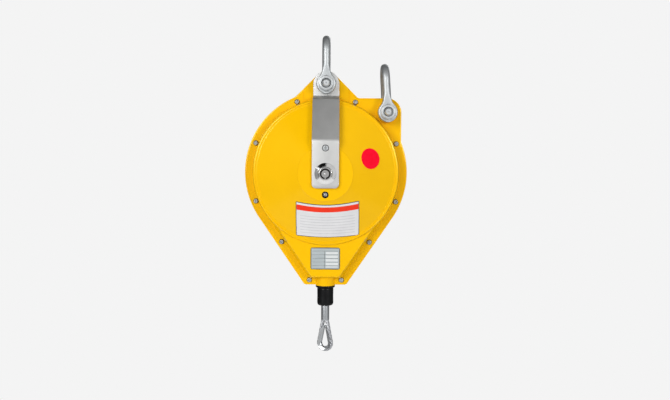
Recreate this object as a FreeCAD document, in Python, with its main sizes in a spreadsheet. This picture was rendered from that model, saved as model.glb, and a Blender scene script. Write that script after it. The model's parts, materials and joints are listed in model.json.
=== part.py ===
import FreeCAD, Part
import math
import os
import re
import Sketcher

# Spring balancer: a rope drum turned by a flat spiral spring, in a split casing that hangs from a shackle.
# Millimetres and degrees. X right, Y to the back, Z up, origin at the inner crown of the top shackle.
# Sub-parts are drawn about the drum shaft, with the casing's parting plane at Y 0, unless a heading says so.

DIMENSIONS = {
    # Casing outline, both halves
    "casing_radius": 100.0,
    "flange_thickness": 5.0,
    "foot_width": 52.0,
    "outlet_drop": 140.0,
    "outline_corner": 4.0,
    "peak_blend": 15.0,
    "peak_block_half": 27.5,
    "peak_block_depth": 6.5,
    "tab_angle": 44.62,
    "tab_gap": 2.36,
    "tab_radius": 17.5,
    "tab_boss_radius": 12.5,
    # Casing shell
    "wall": 4.0,
    "flange_width": 9.0,
    "dome_taper": 3.0,
    "dome_rim_depth": 24.0,
    "rim_round": 2.0,
    "rim_groove_inset": 2.6,
    "rim_groove_width": 1.5,
    "rim_groove_depth": 0.6,
    "rim_land": 4.0,
    "cone_angle": 30.0,
    "boss_radius": 32.5,
    "boss_edge": 1.0,
    "boss_step": 0.844,
    "boss_wall": 7.0,
    "funnel_depth": 21.0,
    "funnel_draft": 18.0,
    "funnel_floor_rise": 7.0,
    "funnel_round": 1.2,
    "nozzle_radius": 12.5,
    "nozzle_reach": 1.0,
    "nozzle_height": 20.0,
    # Casing screws
    "screw_inset": 6.3,
    "low_screw_drop": 86.5,
    "bottom_screw_inset": 6.0,
    "bottom_screw_rise": 5.8,
    "screw_head_radius": 2.75,
    "screw_head_height": 3.0,
    "screw_radius": 1.5,
    "screw_socket": 2.5,
    "screw_socket_depth": 1.6,
    "head_room": 0.9,
    "fit": 0.05,
    # Hanger straps
    "strap_width": 32.0,
    "strap_thickness": 4.0,
    "strap_rim_gap": 0.112,
    "strap_ledge_angle": 11.0,
    "strap_shoulder_gap": 2.5,
    "strap_tail_drop": 17.0,
    "strap_corner": 5.0,
    "strap_bend": 4.0,
    "strap_screw_height": 30.0,
    "strap_screw_head_radius": 3.45,
    "strap_screw_head_height": 2.4,
    "strap_screw_radius": 2.0,
    "strap_screw_length": 10.5,
    "strap_screw_socket": 2.5,
    "strap_screw_socket_depth": 1.7,
    # Shackles
    "shackle_reach": 50.0,
    "shackle_gap": 0.5,
    "bar_radius": 5.0,
    "eye_radius": 12.0,
    "eye_bevel": 1.6,
    "flare_height": 20.0,
    "flare_start": 4.0,
    "flare_radius": 10.2,
    "safety_lean": 3.5,
    "bolt_radius": 5.0,
    "hex_flats": 17.0,
    "hex_bevel": 0.17,
    "nut_height": 8.4,
    "bolt_head_height": 6.4,
    "bolt_tail": 2.6,
    "bolt_tail_radius": 3.7,
    "bush_wall": 1.95,
    "bush_clearance": 0.08,
    # Drum shaft and its ends
    "shaft_radius": 7.5,
    "shaft_neck_radius": 6.0,
    "shaft_tip_radius": 4.4,
    "shaft_tip_length": 8.0,
    "shaft_neck_sink": 0.5,
    "centre_hole_radius": 1.0,
    "centre_hole_depth": 1.5,
    "ring_nut_radius": 12.7,
    "ring_nut_height": 5.0,
    "ring_nut_rim": 0.75,
    "ring_nut_shoulder": 2.75,
    "ring_nut_shoulder_radius": 10.8,
    "ring_nut_collar_radius": 7.9,
    "ring_nut_lip": 0.4,
    "ring_nut_lip_radius": 7.1,
    "circlip_radius": 6.3,
    "circlip_thickness": 1.0,
    "circlip_groove": 0.6,
    "circlip_play": 0.2,
    "spacer_wall": 2.5,
    # Rope drum and winding
    "rope_radius": 2.5,
    "drum_clearance": 14.0,
    "drum_flange_rise": 8.0,
    "winding_gap": 0.6,
    "winding_side_gap": 1.2,
    "drum_flange": 3.0,
    "drum_skin": 0.5,
    "case_wall": 4.0,
    "case_end": 14.0,
    "hub_wall": 4.5,
    "bearing_shoulder": 4.5,
    "lock_flange_edge": 1.1,
    "lock_flange": 5.0,
    "lock_hole_radius": 2.9,
    "notch_depth": 4.0,
    "notch_start": 162.0,
    "notch_span": 14.2,
    "lid_thickness": 3.0,
    "lid_screw_radius": 1.2,
    "lid_screw_length": 8.0,
    "lid_screw_head_radius": 1.9,
    "lid_screw_head_height": 2.0,
    "lid_bush_wall": 2.0,
    "lid_bush_front": 2.0,
    "lid_bush_back": 0.5,
    "last_wrap": 290.0,
    "rope_turn_rise": 11.0,
    "rope_turn_radius": 30.0,
    "anchor_radius": 3.5,
    "anchor_length": 3.5,
    # Ball bearing
    "bearing_radius": 17.5,
    "bearing_width": 11.0,
    "ball_radius": 2.38,
    "ring_gap": 2.0,
    # Main spring, arbor and adjusting worm
    "arbor_radius": 12.0,
    "arbor_front": 20.0,
    "arbor_rear": 32.0,
    "spring_strip": 1.0,
    "spring_end_gap": 2.0,
    "spring_clearance": 0.3,
    "gear_module": 1.5,
    "wheel_face": 6.0,
    "worm_radius": 7.0,
    "worm_shaft_radius": 4.0,
    "worm_thread_sink": 0.4,
    "worm_sink": 5.0,
    "worm_boss_radius": 9.0,
    "worm_boss_stand": 5.68,
    "worm_boss_length": 25.0,
    "worm_bush_radius": 6.0,
    "worm_bush_inset": 2.0,
    "worm_bush_length": 12.0,
    "worm_socket": 5.0,
    "worm_socket_depth": 6.0,
    # Safety pawl and drum lock screw
    "pawl_room": 7.5,
    "pawl_angle": 160.0,
    "pawl_hub": 5.0,
    "pawl_bore": 2.5,
    "pawl_length": 19.0,
    "pawl_waist": 4.5,
    "pawl_tip_inner": 8.25,
    "pawl_tip_outer": 4.75,
    "pawl_play": 0.2,
    "pawl_pin_head": 4.0,
    "pawl_pin_head_height": 1.6,
    "pawl_stud": 3.0,
    "pawl_pin_cover": 1.75,
    "lock_drop": 25.0,
    "lock_radius": 3.42,
    "lock_recess": 3.0,
    "lock_gap": 0.5,
    "lock_tip_radius": 2.5,
    "lock_tip": 6.5,
    "lock_boss_radius": 6.5,
    "lock_boss_gap": 4.0,
    "lock_socket": 3.0,
    # Outlet and rope end
    "outlet_flange_radius": 12.0,
    "outlet_flange": 2.8,
    "outlet_bush_radius": 9.0,
    "outlet_throat": 3.2,
    "outlet_mouth": 8.0,
    "outlet_bush_length": 15.0,
    "stopper_radius": 10.2,
    "stopper_length": 22.4,
    "stopper_gap": 0.3,
    "stopper_chamfer": 2.0,
    "sleeve_cover": 0.2,
    "sleeve_length": 19.5,
    "sleeve_chamfer": 0.8,
    "sleeve_bore_depth": 13.0,
    "eye_length": 40.0,
    "eye_bend_radius": 8.5,
    "eye_leg_gap": 0.1,
    "eye_yaw": 24.0,
    "thimble_wall": 1.5,
    "thimble_half_width": 3.6,
    "thimble_lip_drop": 0.9,
    "thimble_tip_gap": 4.9,
    "thimble_hole_gap": 9.75,
    # Plates on the casing
    "label_width": 76.4,
    "label_top": 35.4,
    "label_bottom": 76.6,
    "foil": 0.4,
    "foil_gap": 0.02,
    "sticker_radius": 12.5,
    "sticker_distance": 56.3,
    "sticker_angle": 18.4,
    "plate_width": 36.0,
    "plate_height": 27.0,
    "plate_gap": 3.5,
    "plate_corner": 2.5,
}

# Whole numbers of repeated features
CASING_SCREW_ANGLES = (67.5, 22.5, -22.5)
NOTCHES = 12
LOCK_HOLES = 12
LID_SCREWS = 6
BALLS = 8
WHEEL_TEETH = 30
WORM_TURNS = 5
SPRING_TURNS = 8
TURNS_ON_DRUM = 3

# Sizes that follow from the driving ones
WORKED_OUT = {
    # Casing
    "dome_base_radius": "casing_radius - flange_width",
    "dome_rim_radius": "dome_base_radius - dome_taper",
    "rim_groove_radius": "dome_rim_radius - rim_groove_inset",
    "cone_start_radius": "dome_rim_radius - rim_land",
    "cone_end_radius": "boss_radius + boss_edge",
    "boss_depth": "dome_rim_depth + (cone_start_radius - cone_end_radius) * tan(cone_angle) + boss_step",
    "inner_flat": "boss_depth - boss_wall",
    "foot_half": "foot_width / 2",
    "foot_reach": "sqrt(foot_half ^ 2 + outlet_drop ^ 2)",
    "funnel_angle": "asin(casing_radius / foot_reach) - atan(foot_half / outlet_drop)",
    "funnel_floor_drop": "outlet_drop - funnel_floor_rise",
    "nozzle_drop": "outlet_drop + nozzle_reach",
    "screw_circle": "casing_radius - screw_inset",
    "bottom_screw_x": "foot_half - bottom_screw_inset",
    # Hanger pin, side tab and shackles
    "grip": "peak_block_depth + strap_thickness",
    "strap_face": "boss_depth + strap_thickness",
    "strap_shoulder_depth": "dome_rim_depth + strap_shoulder_gap",
    "strap_ledge_run": "strap_shoulder_depth - peak_block_depth",
    "strap_shoulder_height": "dome_rim_radius + strap_rim_gap",
    "strap_ledge_height": "strap_shoulder_height + strap_ledge_run * tan(strap_ledge_angle)",
    "pin_height": "strap_ledge_height + strap_thickness + eye_radius",
    "peak_radius": "strap_width / 2",
    "peak_x": "peak_radius * cos(45)",
    "peak_z": "pin_height + peak_radius * sin(45)",
    "peak_sum": "peak_x + peak_z",
    "tab_distance": "dome_base_radius + eye_radius + tab_gap",
    "tab_pin_x": "tab_distance * cos(tab_angle)",
    "tab_pin_z": "tab_distance * sin(tab_angle)",
    "pin_bush_radius": "bolt_radius + bush_clearance + bush_wall",
    "shackle_inside": "2 * (grip + shackle_gap)",
    "shackle_eye_start": "shackle_inside / 2",
    "shackle_eye_end": "shackle_eye_start + 2 * bar_radius",
    "shackle_leg": "shackle_eye_start + bar_radius",
    "shackle_bow_centre": "shackle_reach - shackle_inside / 2",
    "shaft_height": "-(pin_height + shackle_reach)",
    # Drum, bearing and rope
    "drum_flange_radius": "dome_rim_radius - wall - drum_clearance",
    "winding_radius": "drum_flange_radius - drum_flange_rise",
    "winding_pitch": "2 * rope_radius + winding_gap",
    "drum_surface": "winding_radius - rope_radius",
    "drum_front": "%d * winding_pitch + rope_radius + winding_side_gap" % TURNS_ON_DRUM,
    "drum_front_face": "drum_front + drum_flange",
    "drum_rear": "rope_radius + winding_side_gap",
    "drum_rear_face": "drum_rear + drum_flange",
    "case_outer": "drum_surface - drum_skin",
    "case_radius": "case_outer - case_wall",
    "lid_screw_circle": "case_outer - case_wall / 2",
    "lid_end": "case_end + lid_thickness",
    "lid_bush_bore": "arbor_radius + bush_clearance",
    "lid_bush_radius": "lid_bush_bore + lid_bush_wall",
    "hub_front": "drum_front + bearing_shoulder + bearing_width",
    "hub_radius": "bearing_radius + hub_wall",
    "bearing_back": "hub_front - bearing_width",
    "race_radius": "(shaft_radius + bearing_radius) / 2",
    "lock_flange_radius": "lock_drop + lock_hole_radius + lock_flange_edge",
    "rope_turn_drop": "nozzle_drop - rope_turn_rise",
    "lead_angle": "asin(winding_radius / rope_turn_drop)",
    "fall_top": "rope_turn_drop + rope_turn_radius * tan(lead_angle / 2)",
    "outlet_face": "nozzle_drop + outlet_flange",
    "stopper_top": "outlet_face + stopper_gap",
    "sleeve_top": "stopper_top + stopper_length",
    "sleeve_radius": "2 * rope_radius + sleeve_cover",
    "eye_top": "sleeve_top + sleeve_length",
    "eye_height": "eye_length - eye_bend_radius - rope_radius",
    "eye_leg_spacing": "rope_radius + eye_leg_gap",
    "thimble_inner": "eye_bend_radius - rope_radius - thimble_wall",
    "thimble_lip": "eye_bend_radius - thimble_lip_drop",
    # Shaft ends
    "ring_nut_top": "strap_face + ring_nut_height",
    "shaft_end": "strap_face + shaft_tip_length",
    "clip_start": "ring_nut_top + circlip_play",
    # Adjusting worm: its axis and where that meets the rear cone
    "wheel_radius": "gear_module * %d / 2" % WHEEL_TEETH,
    "tooth_drop": "1.3 * gear_module",
    "gap_floor_half": "0.85 * gear_module",
    "gap_mouth_half": "2.24 * gear_module",
    "thread_root_half": "0.75 * gear_module",
    "thread_tip_half": "0.3 * gear_module",
    "worm_y": "arbor_rear - wheel_face / 2",
    "worm_drop": "wheel_radius + worm_radius",
    "worm_cone_radius": "cone_start_radius - (worm_y - dome_rim_depth) / tan(cone_angle)",
    "worm_boss_end": "sqrt(worm_cone_radius ^ 2 - worm_drop ^ 2) + worm_boss_stand",
    "worm_boss_start": "worm_boss_end - worm_boss_length",
    "worm_bush_start": "worm_boss_start + worm_bush_inset",
    "worm_bush_end": "worm_bush_start + worm_bush_length",
    "worm_reach": "worm_boss_end - worm_sink",
    "worm_pitch": "pi * gear_module",
    # Pawl, lock screw and plates
    "pawl_radius": "drum_flange_radius + pawl_room",
    "pawl_x": "pawl_radius * cos(pawl_angle)",
    "pawl_z": "pawl_radius * sin(pawl_angle)",
    "pawl_pin_end": "dome_rim_depth + (cone_start_radius - pawl_radius) * tan(cone_angle) - pawl_pin_cover",
    "lock_front": "boss_depth - lock_recess",
    "lock_back": "hub_front + lock_gap + lock_tip",
    "plate_drop": "dome_rim_radius + plate_gap + plate_height / 2",
}

FRONT = -1
REAR = 1

doc = FreeCAD.newDocument("spring_balancer")
sheet = doc.addObject("Spreadsheet::Sheet", "dims")
gauge = doc.addObject("Part::Vertex", "Gauge")
nodes = []


# Sheet and formulas

def fill_sheet():
    for row, (name, value) in enumerate(DIMENSIONS.items(), start=1):
        sheet.set("A%d" % row, name)
        sheet.set("B%d" % row, str(value))
        sheet.setAlias("B%d" % row, name)
    doc.recompute()


def formula(rule):
    """The rule with each driving size pointed at its cell and each worked-out size spelt out."""
    def spelt(word):
        name = word.group()
        if name in WORKED_OUT:
            return "(%s)" % formula(WORKED_OUT[name])
        return "dims." + name if name in DIMENSIONS else name
    return re.sub(r"[a-z_]+", spelt, rule)


def size(rule):
    """The length that a rule gives, read off a gauge point."""
    gauge.setExpression("X", formula(rule))
    gauge.recompute()
    return gauge.X.Value


def bind(item, **rules):
    for name, rule in rules.items():
        item.setExpression(name.replace("__", "."), formula(rule))


# Document objects

def keep(item, label, x="0", y="0", z="shaft_height"):
    """Name a finished sub-part and place it."""
    item.Label = label
    bind(item, Placement__Base__x=x, Placement__Base__y=y, Placement__Base__z=z)
    nodes.append(item)
    return item


def new_body():
    return doc.addObject("PartDesign::Body", "Body")


def primitive(kind, x="0", y="0", z="0", turn=None, **sizes):
    """A Part primitive; turn is the axis and angle that stand it up."""
    item = doc.addObject("Part::" + kind, kind)
    if turn:
        item.Placement.Rotation = FreeCAD.Rotation(FreeCAD.Vector(*turn[:3]), turn[3])
    bind(item, Placement__Base__x=x, Placement__Base__y=y, Placement__Base__z=z, **sizes)
    return item


TO_BACK = (1, 0, 0, -90)
TO_FRONT = (1, 0, 0, 90)
TO_RIGHT = (0, 1, 0, 90)


def boolean(kind, base, tool):
    item = doc.addObject("Part::" + kind, kind)
    item.Base = base
    item.Tool = tool
    return item


def fuse(*items):
    item = doc.addObject("Part::MultiFuse", "Fuse")
    item.Shapes = list(items)
    return item


def group(items):
    item = doc.addObject("Part::Compound", "Group")
    item.Links = list(items)
    return item


# Sketches

def sketch_on(body, role, offset="0"):
    """A sketch on one of the body's own planes; offset runs along that plane's normal."""
    sketch = body.newObject("Sketcher::SketchObject", "Sketch")
    plane = next(item for item in body.Origin.OriginFeatures if item.Role == role)
    sketch.AttachmentSupport = [(plane, "")]
    sketch.MapMode = "FlatFace"
    bind(sketch, AttachmentOffset__Base__z=offset)
    return sketch


def set_constraint(sketch, constraint, rule):
    index = sketch.addConstraint(constraint)
    sketch.setExpression("Constraints[%d]" % index, formula(rule))


def pin_point(sketch, geometry, point, x, y):
    set_constraint(sketch, Sketcher.Constraint("DistanceX", -1, 1, geometry, point, 1.0), x)
    set_constraint(sketch, Sketcher.Constraint("DistanceY", -1, 1, geometry, point, 1.0), y)


def draw_polygon(sketch, corners):
    """A closed outline of straight lines; each corner is a pair of rules."""
    count = len(corners)
    first = sketch.GeometryCount
    ring = [FreeCAD.Vector(math.cos(math.tau * i / count), math.sin(math.tau * i / count), 0)
            for i in range(count)]
    for i in range(count):
        sketch.addGeometry(Part.LineSegment(ring[i], ring[(i + 1) % count]), False)
    for i in range(count):
        sketch.addConstraint(Sketcher.Constraint("Coincident", first + i, 2, first + (i + 1) % count, 1))
    for i, (x, y) in enumerate(corners):
        pin_point(sketch, first + i, 1, x, y)


def draw_circle(sketch, x, y, radius):
    circle = Part.Circle(FreeCAD.Vector(1, 1, 0), FreeCAD.Vector(0, 0, 1), 2.0)
    geometry = sketch.addGeometry(circle, False)
    pin_point(sketch, geometry, 3, x, y)
    set_constraint(sketch, Sketcher.Constraint("Radius", geometry, 2.0), radius)


# Solid features

def feature(body, kind, sketch, **rules):
    item = body.newObject("PartDesign::" + kind, kind)
    item.Profile = (sketch, [""])
    bind(item, **rules)
    return item


def pad(body, sketch, length, side=FRONT, both=False, draft=None):
    """Material from a sketch; FRONT follows the sketch's normal and REAR goes against it."""
    item = feature(body, "Pad", sketch, Length=length)
    item.Reversed = side == REAR
    if both:
        item.SideType = "Symmetric"
    if draft:
        bind(item, TaperAngle=draft)
    return item


def pocket(body, sketch, length=None, side=FRONT, draft=None):
    """A cut from a sketch, towards FRONT or REAR as for a pad, or through both ways with no length."""
    item = feature(body, "Pocket", sketch)
    if length:
        bind(item, Length=length)
        item.Reversed = side == FRONT
    else:
        item.Type = "ThroughAll"
        item.SideType = "Symmetric"
    if draft:
        bind(item, TaperAngle=draft)
    return item


def turned(body, kind, corners, role="XY_Plane", angle=360, flip=False):
    """A profile turned about the sketch's upright axis: Y on the XY plane, Z on the XZ plane."""
    sketch = sketch_on(body, role)
    draw_polygon(sketch, corners)
    item = feature(body, kind, sketch)
    item.ReferenceAxis = (sketch, ["V_Axis"])
    item.Angle = angle
    item.Reversed = flip
    return item


def repeat(body, original, axis_role, count):
    pattern = body.newObject("PartDesign::PolarPattern", "Pattern")
    pattern.Originals = [original]
    axis = next(item for item in body.Origin.OriginFeatures if item.Role == axis_role)
    pattern.Axis = (axis, [""])
    pattern.Angle = 360
    pattern.Occurrences = count
    body.Tip = pattern
    return pattern


def round_edges(body, base, radius, chosen):
    """A fillet on the edges of a feature that the test picks."""
    doc.recompute()
    names = ["Edge%d" % i for i, edge in enumerate(base.Shape.Edges, start=1) if chosen(edge)]
    if not names:
        raise RuntimeError("no edge to round on " + body.Name)
    item = body.newObject("PartDesign::Fillet", "Fillet")
    item.Base = (base, names)
    bind(item, Radius=radius)
    return item


def upright_at(x, z, reach=1.0):
    """Picks edges along Y whose middle is near a place in the casing's plane."""
    def chosen(edge):
        middle = edge.CenterOfMass
        run = edge.Vertexes[-1].Point - edge.Vertexes[0].Point
        along = abs(run.x) < 1e-6 and abs(run.z) < 1e-6 and abs(run.y) > 1e-6
        return along and math.hypot(middle.x - x, middle.z - z) < reach
    return chosen


def ring_at(radius, y):
    """Picks arcs of one radius about the shaft, in one plane."""
    def chosen(edge):
        points = edge.discretize(5)
        return all(abs(math.hypot(p.x, p.z) - radius) < 0.01 and abs(p.y - y) < 0.01 for p in points)
    return chosen


def tube(label, outer, inner, start, end, **place):
    """A plain turned ring about Y."""
    body = new_body()
    turned(body, "Revolution", ((inner, start), (outer, start), (outer, end), (inner, end)))
    return keep(body, label, **place)


# Casing halves

def funnel_half(radius, drop):
    """Half width, at a drop below the shaft, between the funnel lines that touch a circle."""
    return "((%s) - (%s) * sin(funnel_angle)) / cos(funnel_angle)" % (radius, drop)


def funnel_outline(sketch, radius, drop):
    """The funnel below the two tangent points on a circle."""
    half = funnel_half(radius, drop)
    side = "(%s) * cos(funnel_angle)" % radius
    top = "-(%s) * sin(funnel_angle)" % radius
    bottom = "-(%s)" % drop
    draw_polygon(sketch, (("-" + side, top), (side, top), (half, bottom), ("-(%s)" % half, bottom)))


def cone_depth(radius):
    return "(dome_rim_depth + (cone_start_radius - (%s)) * tan(cone_angle))" % radius


def inner_cone_depth(radius):
    return "(%s - wall / cos(cone_angle))" % cone_depth(radius)


def casing_screw_places():
    places = [("screw_circle * cos(%s)" % angle, "screw_circle * sin(%s)" % angle)
              for angle in CASING_SCREW_ANGLES]
    places.append((funnel_half("screw_circle", "low_screw_drop"), "-low_screw_drop"))
    places.append(("bottom_screw_x", "bottom_screw_rise - outlet_drop"))
    return [(sign + "(%s)" % x, z) for x, z in places for sign in ("", "-")]


def casing_flange(body, side):
    """Round plate with the funnel, the peak round the hanger pin and the side tab."""
    def plate(draw):
        sketch = sketch_on(body, "XZ_Plane")
        draw(sketch)
        return pad(body, sketch, "flange_thickness", side)

    peak = (("-peak_x", "peak_z"), ("peak_x", "peak_z"),
            ("peak_sum / 2", "peak_sum / 2"), ("-peak_sum / 2", "peak_sum / 2"))
    tab_right = "tab_pin_x + tab_radius"
    tab = (("peak_block_half", "tab_pin_z + tab_radius"), ("tab_pin_x", "tab_pin_z + tab_radius"),
           (tab_right, "tab_pin_z"), (tab_right, "0"), ("peak_block_half", "0"))
    plate(lambda sketch: draw_circle(sketch, "0", "0", "casing_radius"))
    plate(lambda sketch: funnel_outline(sketch, "casing_radius", "outlet_drop"))
    plate(lambda sketch: draw_polygon(sketch, peak))
    plate(lambda sketch: draw_circle(sketch, "0", "pin_height", "peak_radius"))
    plate(lambda sketch: draw_polygon(sketch, tab))
    return plate(lambda sketch: draw_circle(sketch, "tab_pin_x", "tab_pin_z", "tab_radius"))


def round_outline(body, base):
    """Round the funnel's foot and the root of the peak on the side away from the tab."""
    root_x = size("(sqrt(2 * casing_radius ^ 2 - peak_sum ^ 2) - peak_sum) / 2")
    base = round_edges(body, base, "peak_blend", upright_at(root_x, size("peak_sum") + root_x))
    for x in (-size("foot_half"), size("foot_half")):
        base = round_edges(body, base, "outline_corner", upright_at(x, -size("outlet_drop")))


def casing_raised(body, side):
    """Peak block, tab boss, dome with its rim groove, funnel and nozzle."""
    sign = "-" if side == FRONT else ""
    corner = "peak_sum - peak_block_half"
    root = "dome_rim_radius - wall"
    sketch = sketch_on(body, "XZ_Plane")
    draw_polygon(sketch, (("-peak_block_half", corner), ("-peak_x", "peak_z"), ("peak_x", "peak_z"),
                          ("peak_block_half", corner), ("peak_block_half", root), ("-peak_block_half", root)))
    pad(body, sketch, "peak_block_depth", side)
    for x, z, radius, depth in (("0", "pin_height", "peak_radius", "peak_block_depth"),
                                ("tab_pin_x", "tab_pin_z", "tab_boss_radius", "grip")):
        sketch = sketch_on(body, "XZ_Plane")
        draw_circle(sketch, x, z, radius)
        pad(body, sketch, depth, side)
    groove_out = "rim_groove_radius + rim_groove_width / 2"
    groove_in = "rim_groove_radius - rim_groove_width / 2"
    groove_floor = "dome_rim_depth - rim_groove_depth"
    profile = (("0", "0"), ("dome_base_radius", "0"), ("dome_base_radius", "flange_thickness"),
               ("dome_rim_radius", "dome_rim_depth"), (groove_out, "dome_rim_depth"),
               (groove_out, groove_floor), (groove_in, groove_floor), (groove_in, "dome_rim_depth"),
               ("cone_start_radius", "dome_rim_depth"), ("cone_end_radius", cone_depth("cone_end_radius")),
               ("boss_radius", "boss_depth"), ("0", "boss_depth"))
    dome = turned(body, "Revolution", [(r, "%s(%s)" % (sign, y)) for r, y in profile])
    rim = ring_at(size("dome_rim_radius"), side * size("dome_rim_depth"))
    round_edges(body, dome, "rim_round", rim)
    sketch = sketch_on(body, "XZ_Plane", "flange_thickness" if side == FRONT else "-flange_thickness")
    funnel_outline(sketch, "dome_base_radius", "funnel_floor_drop")
    funnel = pad(body, sketch, "funnel_depth - flange_thickness", side, draft="-funnel_draft")
    face = side * size("funnel_depth")

    def funnel_edge(edge):
        flat = all(abs(p.y - face) < 0.01 for p in edge.discretize(3))
        return flat and edge.Curve.TypeId == "Part::GeomLine"

    round_edges(body, funnel, "funnel_round", funnel_edge)
    turned(body, "Revolution", (("0", "-nozzle_drop"), ("nozzle_radius", "-nozzle_drop"),
                                ("nozzle_radius", "nozzle_height - nozzle_drop"),
                                ("0", "nozzle_height - nozzle_drop")),
           role="XZ_Plane", angle=180, flip=side == FRONT)


def casing_hollow(body, side):
    """Space for the drum, the rope's way down and the outlet bush."""
    sign = "-" if side == FRONT else ""
    flat_rise = "inner_flat + wall / cos(cone_angle) - dome_rim_depth"
    flat_radius = "cone_start_radius - (%s) / tan(cone_angle)" % flat_rise
    rim = "dome_rim_radius - wall"
    profile = (("0", "0"), ("dome_base_radius - wall", "0"), (rim, inner_cone_depth(rim)),
               (flat_radius, "inner_flat"), ("0", "inner_flat"))
    turned(body, "Groove", [(r, "%s(%s)" % (sign, y)) for r, y in profile])
    sketch = sketch_on(body, "XZ_Plane")
    funnel_outline(sketch, "dome_base_radius - wall", "funnel_floor_drop - wall")
    pocket(body, sketch, "funnel_depth - wall", side, draft="-funnel_draft")
    bore = "outlet_bush_radius + fit"
    top = "outlet_bush_length - nozzle_drop"
    turned(body, "Groove", (("0", "-nozzle_drop"), (bore, "-nozzle_drop"), (bore, top), ("0", top)),
           role="XZ_Plane")


def lock_screw_boss(body):
    """A boss inside the front half that lengthens the lock screw's thread."""
    sketch = sketch_on(body, "XZ_Plane", "hub_front + lock_boss_gap")
    draw_circle(sketch, "0", "-lock_drop", "lock_boss_radius")
    pad(body, sketch, "inner_flat + boss_wall / 2 - hub_front - lock_boss_gap")


def casing_holes(body, side):
    """Shaft seat, hanger and tab bush seats, screw holes and the room for their heads."""
    sketch = sketch_on(body, "XZ_Plane")
    draw_circle(sketch, "0", "0", "shaft_radius + fit")
    draw_circle(sketch, "0", "pin_height", "pin_bush_radius + fit")
    draw_circle(sketch, "tab_pin_x", "tab_pin_z", "pin_bush_radius + fit")
    draw_circle(sketch, "0", "strap_screw_height", "strap_screw_radius + fit")
    if side == FRONT:
        draw_circle(sketch, "0", "-lock_drop", "lock_radius + bush_clearance")
    for x, z in casing_screw_places():
        draw_circle(sketch, x, z, "screw_radius + fit")
    pocket(body, sketch)
    sketch = sketch_on(body, "XZ_Plane", "flange_thickness" if side == FRONT else "-flange_thickness")
    for x, z in casing_screw_places():
        draw_circle(sketch, x, z, "screw_head_radius + head_room")
    pocket(body, sketch, "dome_rim_depth", side)


def worm_bosses(body):
    """The two bosses of the rear half that carry the worm's bushes; the left one is blind."""
    for start in ("worm_boss_start", "-worm_boss_end"):
        sketch = sketch_on(body, "YZ_Plane", start)
        draw_circle(sketch, "worm_y", "-worm_drop", "worm_boss_radius")
        pad(body, sketch, "worm_boss_length")


def worm_bores(body):
    blind = "worm_bush_inset + worm_bush_length + fit"
    for start, length in (("worm_boss_start", "worm_boss_length"), ("-(worm_bush_end + fit)", blind)):
        sketch = sketch_on(body, "YZ_Plane", start)
        draw_circle(sketch, "worm_y", "-worm_drop", "worm_bush_radius + fit")
        pocket(body, sketch, length)


def pawl_seat(body):
    sketch = sketch_on(body, "XZ_Plane")
    draw_circle(sketch, "pawl_x", "pawl_z", "pawl_stud + fit")
    pocket(body, sketch, "pawl_pin_end", REAR)


def casing_half(label, side):
    body = new_body()
    outline = casing_flange(body, side)
    round_outline(body, outline)
    casing_raised(body, side)
    casing_hollow(body, side)
    if side == FRONT:
        lock_screw_boss(body)
    if side == REAR:
        worm_bosses(body)
        worm_bores(body)
        pawl_seat(body)
    casing_holes(body, side)
    keep(body, label)


# Fasteners

def socket_screw(head_radius, head_height, radius, length, socket, socket_depth, x, y, z, turn):
    """A round-headed screw whose head stands on its local Z 0 and whose shank goes down from there."""
    head = primitive("Cylinder", Radius=head_radius, Height=head_height)
    shank = primitive("Cylinder", z="-(%s)" % length, Radius=radius, Height=length)
    hexagon = primitive("Prism", z="%s - %s" % (head_height, socket_depth),
                        Circumradius="%s / sqrt(3)" % socket, Height=socket_depth)
    hexagon.Polygon = 6
    screw = boolean("Cut", fuse(head, shank), hexagon)
    screw.Placement.Rotation = FreeCAD.Rotation(FreeCAD.Vector(*turn[:3]), turn[3])
    bind(screw, Placement__Base__x=x, Placement__Base__y=y, Placement__Base__z=z)
    return screw


def casing_screws():
    length = "2 * flange_thickness - fit"
    screws = [socket_screw("screw_head_radius", "screw_head_height", "screw_radius", length,
                           "screw_socket", "screw_socket_depth", x, "-flange_thickness", z, TO_FRONT)
              for x, z in casing_screw_places()]
    keep(group(screws), "casing_screws")


def strap_screws():
    screws = [socket_screw("strap_screw_head_radius", "strap_screw_head_height", "strap_screw_radius",
                           "strap_screw_length", "strap_screw_socket", "strap_screw_socket_depth",
                           "0", sign + "strap_face", "strap_screw_height", turn)
              for sign, turn in (("-", TO_FRONT), ("", TO_BACK))]
    keep(group(screws), "strap_screws")


# Hanger straps

def strap_profile():
    """Depth and height round the bar's side: the inner line down to the tail, then the outer line back."""
    elbow_z = "(strap_shoulder_height - (boss_depth - strap_shoulder_depth) / tan(cone_angle))"
    lean = "strap_thickness / (1 + sin(strap_ledge_angle + cone_angle))"
    shoulder_y = "strap_shoulder_depth + %s * (sin(strap_ledge_angle) + cos(cone_angle))" % lean
    shoulder_z = "strap_shoulder_height + %s * (cos(strap_ledge_angle) + sin(cone_angle))" % lean
    ledge_rise = "strap_thickness * cos(strap_ledge_angle) / (1 + sin(strap_ledge_angle))"
    return (("peak_block_depth", "pin_height"),
            ("peak_block_depth", "strap_ledge_height"),
            ("strap_shoulder_depth", "strap_shoulder_height"),
            ("boss_depth", elbow_z),
            ("boss_depth", "-strap_tail_drop"),
            ("strap_face", "-strap_tail_drop"),
            ("strap_face", elbow_z + " + strap_thickness * tan(cone_angle / 2)"),
            (shoulder_y, shoulder_z),
            ("grip", "strap_ledge_height + " + ledge_rise),
            ("grip", "pin_height"))


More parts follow.
